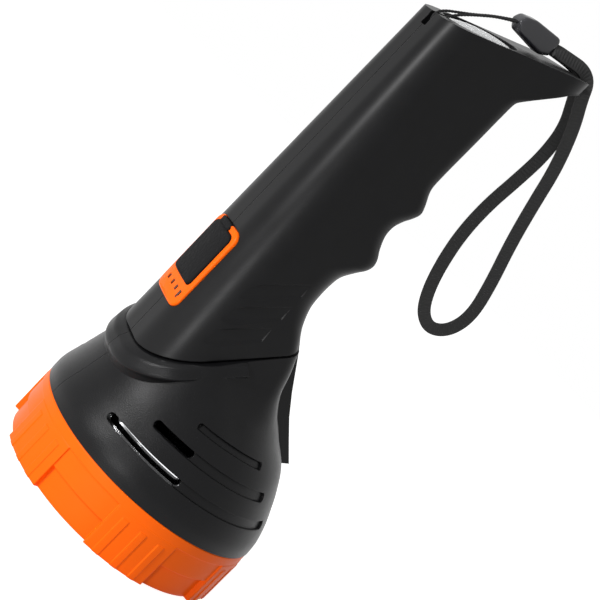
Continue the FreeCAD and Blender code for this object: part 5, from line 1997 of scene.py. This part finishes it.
# Studio


@dataclass
class Studio:
    """Camera at the photograph's viewing angle, softboxes, white surroundings and floor."""

    position: Point = (-0.28418, -0.40541, 0.18313)
    elevation: float = 8.04
    roll: float = 44.305
    lens: float = 75.2
    fill: float = 0.34
    floor_half: float = 3.0
    floor_grey: float = 0.8
    floor_glow: float = 0.85
    boxes: tuple = (("key_box", 9.0, 0.33, 0.75, (0.075, 0.26), 75.0, 0.13),
                    ("low_box", 39.0, 0.03, 0.46, (0.04, 0.045), 90.0, 0.03))

    def camera(self) -> None:
        """Set the camera."""
        a, e, r = (math.radians(v) for v in (VIEW_ANGLE, self.elevation, self.roll))
        right = Vector((math.cos(a), -math.sin(a), 0.0))
        back = Vector((-math.sin(a) * math.cos(e), -math.cos(a) * math.cos(e), math.sin(e)))
        up = back.cross(right)
        columns = (right * math.cos(r) + up * math.sin(r), up * math.cos(r) - right * math.sin(r), back)
        data = bpy.data.cameras.new("camera")
        data.lens = self.lens
        data.sensor_width = 36.0
        data.clip_start = 0.01
        thing = new_object("camera", data)
        thing.matrix_world = Matrix.Translation(self.position) @ Matrix(columns).transposed().to_4x4()
        bpy.context.scene.camera = thing

    def softbox(self, name: str, angle: float, height: float, distance: float, size: tuple[float, float],
                radiance: float, aim: float) -> None:
        """Rectangular softbox that faces the torch.

        Args:
            name: Its name.
            angle: Direction in degrees from -X towards the left side.
            height: Height of its middle in metres.
            distance: Distance from the axis in metres.
            size: Width and height in metres.
            radiance: Brightness, where 1 is white.
            aim: Height that it faces, in metres.
        """
        data = bpy.data.lights.new(name, "AREA")
        data.shape = "RECTANGLE"
        data.size, data.size_y = size
        data.energy = radiance * math.pi * size[0] * size[1]
        thing = new_object(name, data)
        t = math.radians(angle)
        place = Vector((-math.cos(t) * distance, -math.sin(t) * distance, height))
        thing.location = place
        thing.rotation_euler = (place - Vector((0.0, 0.0, aim))).to_track_quat("Z", "Y").to_euler()

    def seen_ray(self, tree: bpy.types.NodeTree) -> bpy.types.NodeSocket:
        """Share that is 1 for camera, glossy and transmission rays.

        Args:
            tree: Tree of the floor's material or of the world.

        Returns:
            The socket with the share.
        """
        path = tree.nodes.new("ShaderNodeLightPath")
        share = path.outputs["Is Camera Ray"]
        for kind in ("Is Glossy Ray", "Is Transmission Ray"):
            larger = tree.nodes.new("ShaderNodeMath")
            larger.operation = "MAXIMUM"
            tree.links.new(share, larger.inputs[0])
            tree.links.new(path.outputs[kind], larger.inputs[1])
            share = larger.outputs[0]
        return share

    def world(self) -> None:
        """White surroundings that light the object only softly."""
        world = bpy.data.worlds.new("studio")
        world.use_nodes = True
        tree = world.node_tree
        tree.nodes.clear()
        mix = tree.nodes.new("ShaderNodeMixShader")
        tree.links.new(self.seen_ray(tree), mix.inputs[0])
        for entry, strength in ((1, self.fill), (2, 1.0)):
            white = tree.nodes.new("ShaderNodeBackground")
            white.inputs["Color"].default_value = (1.0, 1.0, 1.0, 1.0)
            white.inputs["Strength"].default_value = strength
            tree.links.new(white.outputs[0], mix.inputs[entry])
        output = tree.nodes.new("ShaderNodeOutputWorld")
        tree.links.new(mix.outputs[0], output.inputs[0])
        bpy.context.scene.world = world

    def floor(self) -> None:
        """Pale floor that keeps the torch's shadow."""
        mesh = bpy.data.meshes.new("floor")
        s = self.floor_half
        mesh.from_pydata([(-s, -s, 0), (s, -s, 0), (s, s, 0), (-s, s, 0)], [], [(0, 1, 2, 3)])
        thing = new_object("floor", mesh)
        material = bpy.data.materials.new("pale_floor")
        material.use_nodes = True
        tree = material.node_tree
        tree.nodes.clear()
        matt = tree.nodes.new("ShaderNodeBsdfDiffuse")
        matt.inputs["Color"].default_value = (self.floor_grey, self.floor_grey, self.floor_grey, 1.0)
        scale = tree.nodes.new("ShaderNodeMath")
        scale.operation = "MULTIPLY"
        scale.inputs[1].default_value = self.floor_glow
        glow = tree.nodes.new("ShaderNodeEmission")
        total = tree.nodes.new("ShaderNodeAddShader")
        output = tree.nodes.new("ShaderNodeOutputMaterial")
        tree.links.new(self.seen_ray(tree), scale.inputs[0])
        tree.links.new(scale.outputs[0], glow.inputs["Strength"])
        tree.links.new(matt.outputs[0], total.inputs[0])
        tree.links.new(glow.outputs[0], total.inputs[1])
        tree.links.new(total.outputs[0], output.inputs[0])
        mesh.materials.append(material)

    def build(self) -> None:
        """Set up the whole studio."""
        self.camera()
        self.world()
        self.floor()
        for box in self.boxes:
            self.softbox(*box)
        bpy.context.scene.view_settings.view_transform = "Standard"


def main() -> None:
    """Build the torch piece by piece."""
    logging.basicConfig(level=logging.INFO, format="%(name)s: %(message)s")
    Studio().build()
    Lanyard().build()
    HeadHousing().build()
    GripHousing().build()
    SCREWS.build()
    Bezel().build()
    Optics().build()
    Controls().build()
    Power().build()


if __name__ == "__main__":
    main()
